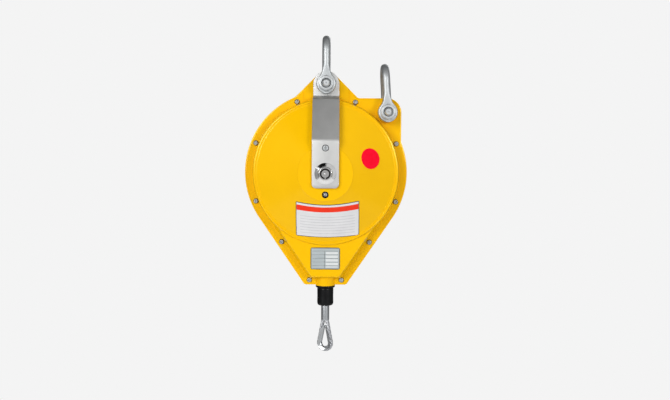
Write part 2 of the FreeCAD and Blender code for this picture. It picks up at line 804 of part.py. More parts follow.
def hanger_strap(label, side):
    """A flat bar bent over the dome's rim: full-round top on the hanger pin, tail on the shaft boss."""
    sign = "-" if side == FRONT else ""
    body = new_body()
    sketch = sketch_on(body, "YZ_Plane")
    draw_polygon(sketch, [("%s(%s)" % (sign, y), z) for y, z in strap_profile()])
    bar = pad(body, sketch, "strap_width", both=True)
    width = size("strap_width")
    deep = size("(strap_shoulder_depth + boss_depth) / 2")

    def elbow(edge):
        ends = edge.discretize(2)
        across = abs(abs(ends[0].x - ends[1].x) - width) < 0.01
        return across and abs(ends[0].y) > deep and ends[0].z > 0

    base = round_edges(body, bar, "strap_bend", elbow)
    for x in (-width / 2, width / 2):
        base = round_edges(body, base, "strap_corner", upright_at(x, -size("strap_tail_drop")))
    sketch = sketch_on(body, "XZ_Plane", "peak_block_depth" if side == FRONT else "-peak_block_depth")
    draw_circle(sketch, "0", "pin_height", "strap_width / 2")
    pad(body, sketch, "strap_thickness", side)
    sketch = sketch_on(body, "XZ_Plane")
    draw_circle(sketch, "0", "pin_height", "pin_bush_radius + fit")
    draw_circle(sketch, "0", "0", "shaft_neck_radius + fit")
    draw_circle(sketch, "0", "strap_screw_height", "strap_screw_radius + fit")
    pocket(body, sketch)
    keep(body, label)


# Shackles, drawn about their bolt

CYLINDER_RIMS = (1, 3)


def shackle_bow():
    """A half ring on two legs, each flaring into a bevelled eye."""
    crown = primitive("Torus", z="shackle_bow_centre", turn=(1, 1, 1, 120), Radius1="shackle_leg",
                      Radius2="bar_radius")
    crown.Angle3 = 180
    pieces = [crown]
    for sign, start in (("-", "-shackle_eye_end"), ("", "shackle_eye_start")):
        pieces.append(primitive("Cylinder", y=sign + "shackle_leg", z="eye_radius / 2", Radius="bar_radius",
                                Height="shackle_bow_centre - eye_radius / 2"))
        eye = primitive("Cylinder", y=start, turn=TO_BACK, Radius="eye_radius", Height="2 * bar_radius")
        bevel = doc.addObject("Part::Chamfer", "Bevel")
        bevel.Base = eye
        bevel.Edges = [(edge, size("eye_bevel"), size("eye_bevel")) for edge in CYLINDER_RIMS]
        pieces.append(bevel)
        flare = primitive("Cone", y=sign + "shackle_leg", z="flare_start", Radius1="flare_radius",
                          Radius2="bar_radius", Height="flare_height - flare_start")
        slab = primitive("Box", x="-eye_radius", y=start, Length="2 * eye_radius", Width="2 * bar_radius",
                         Height="flare_height")
        pieces.append(boolean("Common", flare, slab))
    hole = primitive("Cylinder", y="-shackle_eye_end", turn=TO_BACK, Radius="bolt_radius + fit",
                     Height="2 * shackle_eye_end")
    return boolean("Cut", fuse(*pieces), hole)


def hexagon_prism(height, y, turn):
    prism = primitive("Prism", y=y, turn=turn, Circumradius="hex_flats / sqrt(3)", Height=height)
    prism.Polygon = 6
    return prism


def hexagon_crown(height, y, turn):
    """The ball that takes the outer corners off a hexagon standing on y."""
    ball = primitive("Sphere", y=y, Radius="sqrt((hex_flats / 2 - hex_bevel) ^ 2 + (%s) ^ 2)" % height)
    return boolean("Common", hexagon_prism(height, y, turn), ball)


def shackle_bolt():
    """Hexagon head at the back, shank through both eyes, turned-down tail in front of the nut."""
    nut_face = "-(shackle_eye_end + nut_height)"
    shank = primitive("Cylinder", y=nut_face, turn=TO_BACK, Radius="bolt_radius",
                      Height="2 * shackle_eye_end + nut_height")
    tail = primitive("Cone", y=nut_face, turn=TO_FRONT, Radius1="bolt_radius",
                     Radius2="bolt_tail_radius", Height="bolt_tail")
    return fuse(shank, tail, hexagon_crown("bolt_head_height", "shackle_eye_end", TO_BACK))


def shackle_nut():
    bore = primitive("Cylinder", y="-shackle_eye_end", turn=TO_FRONT, Radius="bolt_radius + fit",
                     Height="2 * nut_height")
    return boolean("Cut", hexagon_crown("nut_height", "-shackle_eye_end", TO_FRONT), bore)


def shackle(name, x, z, lean):
    for piece, make in (("bow", shackle_bow), ("bolt", shackle_bolt), ("nut", shackle_nut)):
        item = make()
        item.Placement.Rotation = FreeCAD.Rotation(FreeCAD.Vector(0, 1, 0), -lean)
        keep(item, "%s_%s" % (name, piece), x=x, z=z)


def pin_bush(label, x, z):
    """A flangeless bush that turns on a shackle bolt."""
    bore = "bolt_radius + bush_clearance"
    tube(label, "pin_bush_radius", bore, "-grip", "grip", x=x, z="shaft_height + " + z)


# Drum shaft and its ends

def main_shaft():
    """Fixed shaft, necked where straps and ring nuts sit, with a ring groove and a centre hole each end."""
    neck_end = "ring_nut_top - shaft_neck_sink"
    groove_floor = "shaft_tip_radius - circlip_groove"
    groove_end = "clip_start + circlip_thickness + 2 * fit"
    rear = (("shaft_radius", "boss_depth"), ("shaft_neck_radius", "boss_depth"),
            ("shaft_neck_radius", neck_end), ("shaft_tip_radius", neck_end),
            ("shaft_tip_radius", "clip_start"), (groove_floor, "clip_start"),
            (groove_floor, groove_end), ("shaft_tip_radius", groove_end), ("shaft_tip_radius", "shaft_end"),
            ("centre_hole_radius", "shaft_end"), ("0", "shaft_end - centre_hole_depth"))
    front = tuple((radius, "-(%s)" % y) for radius, y in reversed(rear))
    body = new_body()
    turned(body, "Revolution", rear + front)
    keep(body, "main_shaft")


def shaft_ring_nut(label, side):
    sign = "-" if side == FRONT else ""
    bore = "shaft_neck_radius + fit"
    profile = ((bore, "strap_face"), ("ring_nut_radius", "strap_face"),
               ("ring_nut_radius", "strap_face + ring_nut_rim"),
               ("ring_nut_shoulder_radius", "strap_face + ring_nut_shoulder"),
               ("ring_nut_collar_radius", "ring_nut_top - ring_nut_lip"),
               ("ring_nut_lip_radius", "ring_nut_top"), (bore, "ring_nut_top"))
    body = new_body()
    turned(body, "Revolution", [(r, "%s(%s)" % (sign, y)) for r, y in profile])
    keep(body, label)


def shaft_circlips():
    clips = []
    for start, turn in (("-clip_start", TO_FRONT), ("clip_start", TO_BACK)):
        disc = primitive("Cylinder", y=start, turn=turn, Radius="circlip_radius", Height="circlip_thickness")
        bore = primitive("Cylinder", y=start, turn=turn, Radius="shaft_tip_radius - circlip_groove + fit",
                         Height="circlip_thickness")
        gap = primitive("Box", x="-shaft_tip_radius / 2", y="-shaft_end", z="-circlip_radius",
                        Length="shaft_tip_radius", Width="2 * shaft_end", Height="circlip_radius")
        clips.append(boolean("Cut", boolean("Cut", disc, bore), gap))
    keep(group(clips), "shaft_circlips")


def shaft_spacers():
    """Three loose tubes that keep the bearing, the arbor and the casing apart along the shaft."""
    bore = "shaft_radius + fit"
    spans = (("-inner_flat", "-hub_front"), ("-bearing_back", "-arbor_front - fit"),
             ("arbor_rear + fit", "inner_flat"))
    rings = []
    for start, end in spans:
        height = "%s - (%s)" % (end, start)
        outer = primitive("Cylinder", y=start, turn=TO_BACK, Radius="shaft_radius + spacer_wall",
                          Height=height)
        inner = primitive("Cylinder", y=start, turn=TO_BACK, Radius=bore, Height=height)
        rings.append(boolean("Cut", outer, inner))
    keep(group(rings), "shaft_spacers")


# Rope drum

def polar_corners(corners):
    return [("(%s) * cos(%s)" % (radius, angle), "(%s) * sin(%s)" % (radius, angle))
            for radius, angle in corners]


def hexagon_corners(flats):
    return polar_corners([("%s / sqrt(3)" % flats, str(60 * i)) for i in range(6)])


def rope_drum():
    """Drum with the front flange as its web, the spring case behind it and the bearing hub in front."""
    seat = "bearing_radius + fit"
    shoulder = "bearing_radius - ring_gap"
    profile = ((seat, "-hub_front"), ("lock_flange_radius", "-hub_front"),
               ("lock_flange_radius", "lock_flange - hub_front"), ("hub_radius", "lock_flange - hub_front"),
               ("hub_radius", "-drum_front_face"), ("drum_flange_radius", "-drum_front_face"),
               ("drum_flange_radius", "-drum_front"), ("drum_surface", "-drum_front"),
               ("drum_surface", "drum_rear"), ("drum_flange_radius", "drum_rear"),
               ("drum_flange_radius", "drum_rear_face"), ("case_outer", "drum_rear_face"),
               ("case_outer", "case_end"), ("case_radius", "case_end"), ("case_radius", "-drum_front"),
               (shoulder, "-drum_front"), (shoulder, "-bearing_back"), (seat, "-bearing_back"))
    body = new_body()
    turned(body, "Revolution", profile)
    notch_end = "notch_start + notch_span"
    floor = "drum_flange_radius - notch_depth"
    mouth = "drum_flange_radius + notch_depth"
    sketch = sketch_on(body, "XZ_Plane", "-drum_rear")
    draw_polygon(sketch, polar_corners(((floor, "notch_start"), (mouth, "notch_start"),
                                        (mouth, notch_end), (floor, notch_end))))
    repeat(body, pocket(body, sketch, "drum_flange", REAR), "Y_Axis", NOTCHES)
    sketch = sketch_on(body, "XZ_Plane", "hub_front")
    draw_circle(sketch, "0", "-lock_drop", "lock_hole_radius")
    repeat(body, pocket(body, sketch, "lock_flange", REAR), "Y_Axis", LOCK_HOLES)
    sketch = sketch_on(body, "XZ_Plane", "-case_end")
    draw_circle(sketch, "lid_screw_circle", "0", "lid_screw_radius + fit")
    repeat(body, pocket(body, sketch, "lid_screw_length", FRONT), "Y_Axis", LID_SCREWS)
    keep(body, "rope_drum")


def spring_case_lid():
    bore = "lid_bush_radius + fit"
    body = new_body()
    turned(body, "Revolution", ((bore, "case_end"), ("case_outer", "case_end"), ("case_outer", "lid_end"),
                                (bore, "lid_end")))
    sketch = sketch_on(body, "XZ_Plane", "-lid_end")
    draw_circle(sketch, "lid_screw_circle", "0", "lid_screw_radius + fit")
    repeat(body, pocket(body, sketch, "lid_thickness", FRONT), "Y_Axis", LID_SCREWS)
    keep(body, "spring_case_lid")


def lid_screws():
    screws = []
    for i in range(LID_SCREWS):
        angle = 360 * i / LID_SCREWS
        screws.append(socket_screw("lid_screw_head_radius", "lid_screw_head_height", "lid_screw_radius",
                                   "lid_screw_length", "lid_screw_head_radius", "lid_screw_head_height / 2",
                                   "lid_screw_circle * cos(%s)" % angle, "lid_end",
                                   "lid_screw_circle * sin(%s)" % angle, TO_BACK))
    keep(group(screws), "lid_screws")


def ball_bearing():
    """Deep-groove bearing on the shaft: the inner ring stays, the outer ring turns with the drum."""
    centre = "bearing_width / 2 - hub_front"
    for label, inner, outer in (("bearing_inner_ring", "shaft_radius + fit", "race_radius - ring_gap / 2"),
                                ("bearing_outer_ring", "race_radius + ring_gap / 2", "bearing_radius")):
        body = new_body()
        turned(body, "Revolution", ((inner, "-hub_front"), (outer, "-hub_front"),
                                    (outer, "-bearing_back"), (inner, "-bearing_back")))
        sketch = sketch_on(body, "XY_Plane")
        draw_circle(sketch, "race_radius", centre, "ball_radius + bush_clearance")
        race = feature(body, "Groove", sketch)
        race.ReferenceAxis = (sketch, ["V_Axis"])
        race.Angle = 360
        keep(body, label)
    balls = [primitive("Sphere", x="race_radius * cos(%s)" % (360 * i / BALLS), y=centre,
                       z="race_radius * sin(%s)" % (360 * i / BALLS), Radius="ball_radius")
             for i in range(BALLS)]
    keep(group(balls), "bearing_balls")


# Rope

def rope_winding():
    """The turns that stay on the drum."""
    rings = []
    for i in range(1, TURNS_ON_DRUM + 1):
        rings.append(primitive("Torus", y="-%d * winding_pitch" % i, turn=TO_BACK, Radius1="winding_radius",
                               Radius2="rope_radius - fit"))
    keep(group(rings), "rope_winding")


def rope_lead():
    """The wrap that is leaving the drum, the slanted run to the outlet and the turn into it."""
    lead = math.degrees(math.asin(size("winding_radius / rope_turn_drop")))
    upright = FreeCAD.Rotation(FreeCAD.Vector(1, 0, 0), 90)
    wrap = primitive("Torus", Radius1="winding_radius", Radius2="rope_radius - fit", Angle3="last_wrap")
    wrap.Placement.Rotation = upright.multiply(FreeCAD.Rotation(FreeCAD.Vector(0, 0, 1), -lead))
    run = primitive("Cylinder", x="winding_radius * cos(lead_angle)", z="-winding_radius * sin(lead_angle)",
                    turn=(0, 1, 0, 180 + lead), Radius="rope_radius - fit",
                    Height="winding_radius / tan(lead_angle) - rope_turn_radius * tan(lead_angle / 2)")
    bend = primitive("Torus", x="rope_turn_radius", z="-fall_top", Radius1="rope_turn_radius",
                     Radius2="rope_radius - fit", Angle3="lead_angle")
    bend.Placement.Rotation = upright.multiply(FreeCAD.Rotation(FreeCAD.Vector(0, 0, 1), 180 - lead))
    keep(fuse(wrap, run, bend), "rope_lead")


def rope_anchor():
    """The rope's swaged end on the outside of the drum's front flange."""
    ferrule = primitive("Cylinder", y="-drum_front_face", z="winding_radius", turn=TO_FRONT,
                        Radius="anchor_radius", Height="anchor_length")
    keep(group([ferrule]), "rope_anchor")


def turned_on_rope(label, profile):
    """A piece turned about the hanging rope; its profile is radius and drop below the shaft."""
    body = new_body()
    turned(body, "Revolution", [(r, "-(%s)" % drop) for r, drop in profile], role="XZ_Plane")
    keep(body, label)


def outlet_bush():
    top = "nozzle_drop - outlet_bush_length"
    throat_top = "nozzle_drop - outlet_throat"
    turned_on_rope("outlet_bush", (("outlet_throat", "outlet_face"), ("outlet_flange_radius", "outlet_face"),
                                   ("outlet_flange_radius", "nozzle_drop"),
                                   ("outlet_bush_radius", "nozzle_drop"),
                                   ("outlet_bush_radius", top), ("outlet_mouth", top),
                                   ("outlet_throat", throat_top)))


def rope_stopper():
    bore = "rope_radius + fit"
    edge = "stopper_radius - stopper_chamfer"
    turned_on_rope("rope_stopper", ((bore, "stopper_top"), (edge, "stopper_top"),
                                    ("stopper_radius", "stopper_top + stopper_chamfer"),
                                    ("stopper_radius", "sleeve_top - stopper_chamfer"),
                                    (edge, "sleeve_top"), (bore, "sleeve_top")))


def swage_sleeve():
    bore = "rope_radius + fit"
    edge = "sleeve_radius - sleeve_chamfer"
    bottom = "sleeve_top + sleeve_bore_depth"
    turned_on_rope("swage_sleeve", ((bore, "sleeve_top"), (edge, "sleeve_top"),
                                    ("sleeve_radius", "sleeve_top + sleeve_chamfer"),
                                    ("sleeve_radius", "eye_top"), ("0", "eye_top"),
                                    ("0", bottom), (bore, bottom)))


def rope_fall():
    """The hanging rope between the outlet and the sleeve, as long as it is when fully wound in."""
    fall = primitive("Cylinder", z="-(sleeve_top + sleeve_bore_depth)", Radius="rope_radius - fit",
                     Height="sleeve_top + sleeve_bore_depth - fall_top")
    keep(group([fall]), "rope_fall")


def teardrop(bend_radius, spacing, height, thickness):
    """A flat plate in the loop's outline: a round end and two sides that close towards the top."""
    reach = "sqrt((%s) ^ 2 + (%s) ^ 2)" % (spacing, height)
    slope = "(asin((%s) / %s) - atan((%s) / (%s)))" % (bend_radius, reach, spacing, height)
    body = new_body()
    sketch = sketch_on(body, "XZ_Plane")
    side = ("(%s) * cos(%s)" % (bend_radius, slope), "(%s) * sin(%s)" % (bend_radius, slope))
    draw_polygon(sketch, (("-(%s)" % side[0], side[1]), side, (spacing, height), ("-(%s)" % spacing, height)))
    pad(body, sketch, thickness, both=True)
    sketch = sketch_on(body, "XZ_Plane")
    draw_circle(sketch, "0", "0", bend_radius)
    pad(body, sketch, thickness, both=True)
    return body


def eye_tube(radius):
    """The rope's own run round the loop: a part ring and two straight legs, cut level at the sleeve."""
    height = size("eye_height")
    spacing = size("eye_leg_spacing")
    bend = size("eye_bend_radius")
    slope = math.asin(bend / math.hypot(spacing, height)) - math.atan2(spacing, height)
    upright = FreeCAD.Rotation(FreeCAD.Vector(1, 0, 0), 90)
    start = FreeCAD.Rotation(FreeCAD.Vector(0, 0, 1), 180 - math.degrees(slope))
    ring = primitive("Torus", Radius1="eye_bend_radius", Radius2=radius)
    ring.Angle3 = 180 + 2 * math.degrees(slope)
    ring.Placement.Rotation = upright.multiply(start)
    legs = [primitive("Cylinder", x=str(sign * bend * math.cos(slope)), z=str(bend * math.sin(slope)),
                      turn=(0, 1, 0, -sign * math.degrees(slope)), Radius=radius, Height="2 * eye_length")
            for sign in (-1, 1)]
    above = primitive("Box", x="-eye_length", y="-eye_length", z="eye_height", Length="2 * eye_length",
                      Width="2 * eye_length", Height="2 * eye_length")
    return boolean("Cut", fuse(ring, *legs), above)


def rope_loop():
    """Rope eye and the grooved thimble inside it, drawn in a plane and turned about the rope."""
    blank = teardrop("thimble_lip", "fit", "eye_height - thimble_tip_gap", "2 * thimble_half_width")
    hole = teardrop("thimble_inner", "fit", "eye_height - thimble_hole_gap", "4 * thimble_half_width")
    thimble = boolean("Cut", boolean("Cut", blank, hole), eye_tube("rope_radius"))
    for item, label in ((eye_tube("rope_radius - fit"), "rope_eye"), (thimble, "thimble")):
        item.Placement.Rotation = FreeCAD.Rotation(FreeCAD.Vector(0, 0, 1), -size("eye_yaw"))
        keep(item, label, z="shaft_height - eye_top - eye_height")


# Main spring, arbor and adjusting worm

def spiral_arcs(start, growth):
    """Half circles about two centres in turn, each one wider than the last by half the growth."""
    arcs = []
    radius = start
    centre = 0.0
    for i in range(2 * SPRING_TURNS):
        sign = 1 if i % 2 == 0 else -1
        begin = FreeCAD.Vector(centre + sign * radius, 0, 0)
        top = FreeCAD.Vector(centre, 0, sign * radius)
        end = FreeCAD.Vector(centre - sign * radius, 0, 0)
        arcs.append(Part.Arc(begin, top, end).toShape())
        centre += sign * growth / 2
        radius += growth / 2
    return arcs


def main_spring():
    """A flat strip wound from the arbor out to the case wall."""
    strip = size("spring_strip")
    first = size("arbor_radius") + size("spring_clearance")
    last = size("case_radius") - size("spring_clearance") - strip
    growth = (last - first) / SPRING_TURNS
    inner = spiral_arcs(first, growth)
    outer = spiral_arcs(first + strip, growth)
    ends = [Part.LineSegment(inner[0].Vertexes[0].Point, outer[0].Vertexes[0].Point).toShape(),
            Part.LineSegment(inner[-1].Vertexes[-1].Point, outer[-1].Vertexes[-1].Point).toShape()]
    outline = Part.Wire(Part.__sortEdges__(inner + outer + ends))
    width = size("drum_front + case_end - 2 * spring_end_gap")
    item = doc.addObject("Part::Feature", "Spring")
    item.Shape = Part.Face(outline).extrude(FreeCAD.Vector(0, width, 0))
    item.Shape.check()
    keep(item, "main_spring", y="spring_end_gap - drum_front")


def worm_wheel():
    """Spur-cut wheel, one tooth gap at the bottom where the worm runs."""
    face = "arbor_rear - wheel_face"
    tip = "wheel_radius + gear_module"
    bore = "arbor_radius + fit"
    floor = "tooth_drop - wheel_radius"
    mouth = "-(wheel_radius + 2 * gear_module)"
    body = new_body()
    turned(body, "Revolution", ((bore, face), (tip, face), (tip, "arbor_rear"), (bore, "arbor_rear")))
    sketch = sketch_on(body, "XZ_Plane", "-arbor_rear")
    draw_polygon(sketch, (("-gap_floor_half", floor), ("gap_floor_half", floor),
                          ("gap_mouth_half", mouth), ("-gap_mouth_half", mouth)))
    repeat(body, pocket(body, sketch, "wheel_face", FRONT), "Y_Axis", WHEEL_TEETH)
    keep(body, "worm_wheel")


def adjusting_worm():
    """Worm on its shaft, drawn along its own Z and laid along X, with a hexagon socket at the right."""
    root = "worm_radius - tooth_drop"
    half = "worm_pitch * (%d + 1) / 2" % WORM_TURNS
    body = new_body()
    turned(body, "Revolution", (("0", "-worm_bush_end"), ("worm_shaft_radius", "-worm_bush_end"),
                                ("worm_shaft_radius", "-" + half), (root, "-" + half), (root, half),
                                ("worm_shaft_radius", half), ("worm_shaft_radius", "worm_reach"),
                                ("0", "worm_reach")), role="XZ_Plane")
    start = "-worm_pitch * %d / 2" % WORM_TURNS
    inner = root + " - worm_thread_sink"
    tip = "worm_radius + gear_module"
    sketch = sketch_on(body, "XZ_Plane")
    draw_polygon(sketch, ((inner, start + " - thread_root_half"), (tip, start + " - thread_tip_half"),
                          (tip, start + " + thread_tip_half"), (inner, start + " + thread_root_half")))
    thread = body.newObject("PartDesign::AdditiveHelix", "Thread")
    thread.Profile = (sketch, [""])
    thread.ReferenceAxis = (sketch, ["V_Axis"])
    thread.Mode = "pitch-turns-angle"
    thread.Turns = WORM_TURNS
    bind(thread, Pitch="worm_pitch")
    sketch = sketch_on(body, "XY_Plane", "worm_reach")
    draw_polygon(sketch, hexagon_corners("worm_socket"))
    pocket(body, sketch, "worm_socket_depth", REAR)
    body.Placement.Rotation = FreeCAD.Rotation(FreeCAD.Vector(*TO_RIGHT[:3]), TO_RIGHT[3])
    keep(body, "adjusting_worm", y="worm_y", z="shaft_height - worm_drop")


def worm_bushes():
    rings = []
    for start in ("worm_bush_start", "-worm_bush_end"):
        outer = primitive("Cylinder", x=start, turn=TO_RIGHT, Radius="worm_bush_radius",
                          Height="worm_bush_length")
        bore = primitive("Cylinder", x=start, turn=TO_RIGHT, Radius="worm_shaft_radius + bush_clearance",
                         Height="worm_bush_length")
        rings.append(boolean("Cut", outer, bore))
    keep(group(rings), "worm_bushes", y="worm_y", z="shaft_height - worm_drop")


# Safety pawl and drum lock screw

def lock_pawl():
    """A short arm beside the drum's notched flange; it points against the way the rope runs out."""
    body = new_body()
    sketch = sketch_on(body, "XZ_Plane", "-drum_rear")
    draw_circle(sketch, "pawl_x", "pawl_z", "pawl_hub")
    pad(body, sketch, "drum_flange", REAR)
    sketch = sketch_on(body, "XZ_Plane", "-drum_rear")
    arm = (("-pawl_waist", "0"), ("-pawl_tip_inner", "pawl_length"), ("-pawl_tip_outer", "pawl_length"),
           ("pawl_waist", "0"))
    draw_polygon(sketch, [("pawl_x + (%s) * cos(pawl_angle) - (%s) * sin(pawl_angle)" % corner,
                           "pawl_z + (%s) * sin(pawl_angle) + (%s) * cos(pawl_angle)" % corner)
                          for corner in arm])
    pad(body, sketch, "drum_flange", REAR)
    sketch = sketch_on(body, "XZ_Plane")
    draw_circle(sketch, "pawl_x", "pawl_z", "pawl_bore + bush_clearance")
    pocket(body, sketch)
    keep(body, "lock_pawl")


def pawl_pin():
    """A shouldered stud in the rear casing wall, headed over in front of the pawl."""
    head = "drum_rear - pawl_play"
    head_top = head + " - pawl_pin_head_height"
    collar = "drum_rear_face + pawl_play"
    collar_end = collar + " + pawl_pin_head_height"
    end = "pawl_pin_end - fit"
    body = new_body()
    turned(body, "Revolution", (("0", head_top), ("pawl_pin_head", head_top), ("pawl_pin_head", head),
                                ("pawl_bore", head), ("pawl_bore", collar), ("pawl_pin_head", collar),
                                ("pawl_pin_head", collar_end), ("pawl_stud", collar_end),
                                ("pawl_stud", end), ("0", end)))
    keep(body, "pawl_pin", x="pawl_x", z="shaft_height + pawl_z")


def drum_lock_screw():
    """A socket screw, sunk in the front boss; driven in, its tip enters a hole in the drum's hub flange."""
    tip = "lock_tip - lock_back"
    body = new_body()
    turned(body, "Revolution", (("0", "-lock_front"), ("lock_radius", "-lock_front"),
                                ("lock_radius", "-lock_back"), ("lock_tip_radius", "-lock_back"),
                                ("lock_tip_radius", tip), ("0", tip)))
    sketch = sketch_on(body, "XZ_Plane", "lock_front")
    draw_polygon(sketch, hexagon_corners("lock_socket"))
    pocket(body, sketch, "lock_socket", REAR)
    keep(body, "drum_lock_screw", z="shaft_height - lock_drop")


# Plates on the casing

def cone_shell():
    """A thin skin over the cone, from its rim to the boss."""
    low = "foil_gap / cos(cone_angle)"
    high = "(foil_gap + foil) / cos(cone_angle)"
    top = cone_depth("cone_end_radius")
    body = new_body()
    turned(body, "Revolution", (("cone_end_radius", "-(%s + %s)" % (top, low)),
                                ("cone_start_radius", "-(dome_rim_depth + %s)" % low),
                                ("cone_start_radius", "-(dome_rim_depth + %s)" % high),
                                ("cone_end_radius", "-(%s + %s)" % (top, high))))
    return body


def label_plate():
    window = primitive("Box", x="-label_width / 2", y="-boss_depth", z="-label_bottom", Length="label_width",
                       Width="boss_depth", Height="label_bottom - label_top")
    keep(boolean("Common", cone_shell(), window), "label_plate")


def round_sticker():
    """A disc cut from the cone's skin by a cylinder square to the cone."""
    azimuth = math.radians(size("sticker_angle"))
    tilt = math.radians(size("cone_angle"))
    outward = FreeCAD.Vector(math.cos(azimuth), 0, math.sin(azimuth))
    forward = FreeCAD.Vector(0, -1, 0)
    normal = outward * math.sin(tilt) + forward * math.cos(tilt)
    centre = outward * size("sticker_distance") + forward * size(cone_depth("sticker_distance"))
    cutter = doc.addObject("Part::Cylinder", "Cutter")
    bind(cutter, Radius="sticker_radius", Height="sticker_radius")
    cutter.Placement = FreeCAD.Placement(centre - normal * size("sticker_radius / 2"),
                                         FreeCAD.Rotation(FreeCAD.Vector(0, 0, 1), normal))
    keep(boolean("Common", cone_shell(), cutter), "round_sticker")


def rating_plate():
    body = new_body()
    sketch = sketch_on(body, "XZ_Plane", "funnel_depth")
    half = "plate_width / 2"
    low = "-(plate_drop + plate_height / 2)"
    high = "plate_height / 2 - plate_drop"
    draw_polygon(sketch, (("-" + half, low), (half, low), (half, high), ("-" + half, high)))
    plate = pad(body, sketch, "foil")
    for x in ("-" + half, half):
        for z in (low, high):
            plate = round_edges(body, plate, "plate_corner", upright_at(size(x), size(z)))
    keep(body, "rating_plate")


# Build, test and write

def build():
    casing_half("front_casing", FRONT)
    casing_half("rear_casing", REAR)
    casing_screws()
    hanger_strap("front_strap", FRONT)
    hanger_strap("rear_strap", REAR)
    strap_screws()
    pin_bush("hanger_bush", "0", "pin_height")
    pin_bush("tab_bush", "tab_pin_x", "tab_pin_z")
    shackle("top_shackle", "0", "-shackle_reach", 0)
    shackle("safety_shackle", "tab_pin_x", "shaft_height + tab_pin_z", size("safety_lean"))
    main_shaft()
    shaft_ring_nut("front_ring_nut", FRONT)
    shaft_ring_nut("rear_ring_nut", REAR)
    shaft_circlips()
    shaft_spacers()
    rope_drum()
    spring_case_lid()
    lid_screws()
    tube("lid_bush", "lid_bush_radius", "lid_bush_bore",
         "case_end - lid_bush_front", "lid_end + lid_bush_back")
    ball_bearing()
    rope_winding()
    rope_lead()
    rope_anchor()
    outlet_bush()
    rope_fall()
    rope_stopper()
    swage_sleeve()
    rope_loop()
    tube("spring_arbor", "arbor_radius", "shaft_radius + bush_clearance", "-arbor_front", "arbor_rear")
    main_spring()
    worm_wheel()
    adjusting_worm()
    worm_bushes()
    lock_pawl()
    pawl_pin()
    drum_lock_screw()
    label_plate()
    round_sticker()
    rating_plate()
    doc.recompute()


def check():
    """Stop if any object failed or any sub-part is empty or broken."""
    for item in doc.Objects:
        if "Invalid" in item.State or "Error" in item.State:
            raise RuntimeError("%s (%s) failed" % (item.Name, item.Label))
    for node in nodes:
        if node.Shape.isNull() or not node.Shape.isValid() or not node.Shape.Solids:
            raise RuntimeError("%s has no sound shape" % node.Label)


def write():
    os.makedirs("parts", exist_ok=True)
    for node in nodes:
        node.Shape.exportStep("parts/%s.step" % node.Label)
        print(node.Label, len(node.Shape.Solids), round(node.Shape.Volume, 1))


fill_sheet()
build()
check()
write()
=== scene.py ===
import json
import math

import bpy
import numpy as np
from mathutils import Matrix, Vector


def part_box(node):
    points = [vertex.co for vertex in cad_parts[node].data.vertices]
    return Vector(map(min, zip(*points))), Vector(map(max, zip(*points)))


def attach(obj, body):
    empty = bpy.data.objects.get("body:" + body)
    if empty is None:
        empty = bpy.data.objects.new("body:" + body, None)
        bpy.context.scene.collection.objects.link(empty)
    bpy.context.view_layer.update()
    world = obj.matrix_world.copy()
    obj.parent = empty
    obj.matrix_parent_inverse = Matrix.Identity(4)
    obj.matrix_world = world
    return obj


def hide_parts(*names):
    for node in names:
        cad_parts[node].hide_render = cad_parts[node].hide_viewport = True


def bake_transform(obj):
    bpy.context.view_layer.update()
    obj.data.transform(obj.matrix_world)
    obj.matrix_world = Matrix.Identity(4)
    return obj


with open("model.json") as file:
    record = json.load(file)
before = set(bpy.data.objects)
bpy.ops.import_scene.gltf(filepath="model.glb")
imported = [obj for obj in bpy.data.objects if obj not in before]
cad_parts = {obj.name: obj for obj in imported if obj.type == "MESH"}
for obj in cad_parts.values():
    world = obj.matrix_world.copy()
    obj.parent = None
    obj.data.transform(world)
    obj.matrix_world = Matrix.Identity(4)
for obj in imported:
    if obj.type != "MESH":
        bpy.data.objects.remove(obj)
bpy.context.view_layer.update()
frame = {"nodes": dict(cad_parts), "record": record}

# Spring balancer. Lengths are millimetres in the row frame until a mesh is made. Angles are radians, but
# for creases, which are degrees.

MM = 0.001
TURN = 2 * np.pi


def node_box(node):
    """Lowest and highest corner of a CAD node."""
    low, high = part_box(node)
    return np.array(low) / MM, np.array(high) / MM


def middle_of(node):
    """Middle of a CAD node's box."""
    low, high = node_box(node)
    return (low + high) / 2


SHAFT = middle_of("main_shaft")
PIN = middle_of("top_shackle_bolt")
TAB = middle_of("safety_shackle_bolt")
STRAP_LOW, STRAP_HIGH = node_box("front_strap")
SHACKLE_TOP = node_box("top_shackle_bow")[1][2]
BOLT_LOW, BOLT_HIGH = node_box("top_shackle_bolt")
NUT_LOW, NUT_HIGH = node_box("top_shackle_nut")
RING_NUT_LOW, RING_NUT_HIGH = node_box("front_ring_nut")
OUTLET_LOW, OUTLET_HIGH = node_box("outlet_bush")
STOPPER_LOW, STOPPER_HIGH = node_box("rope_stopper")
SLEEVE_LOW, SLEEVE_HIGH = node_box("swage_sleeve")
FALL_LOW, FALL_HIGH = node_box("rope_fall")
EYE_LOW, EYE_HIGH = node_box("rope_eye")
PLATE_LOW, PLATE_HIGH = node_box("rating_plate")
SCREW_LOW, SCREW_HIGH = node_box("casing_screws")
CLIP_LOW, CLIP_HIGH = node_box("shaft_circlips")
LOCK_LOW, LOCK_HIGH = node_box("drum_lock_screw")

# Sizes of the looks that the frame doesn't hold

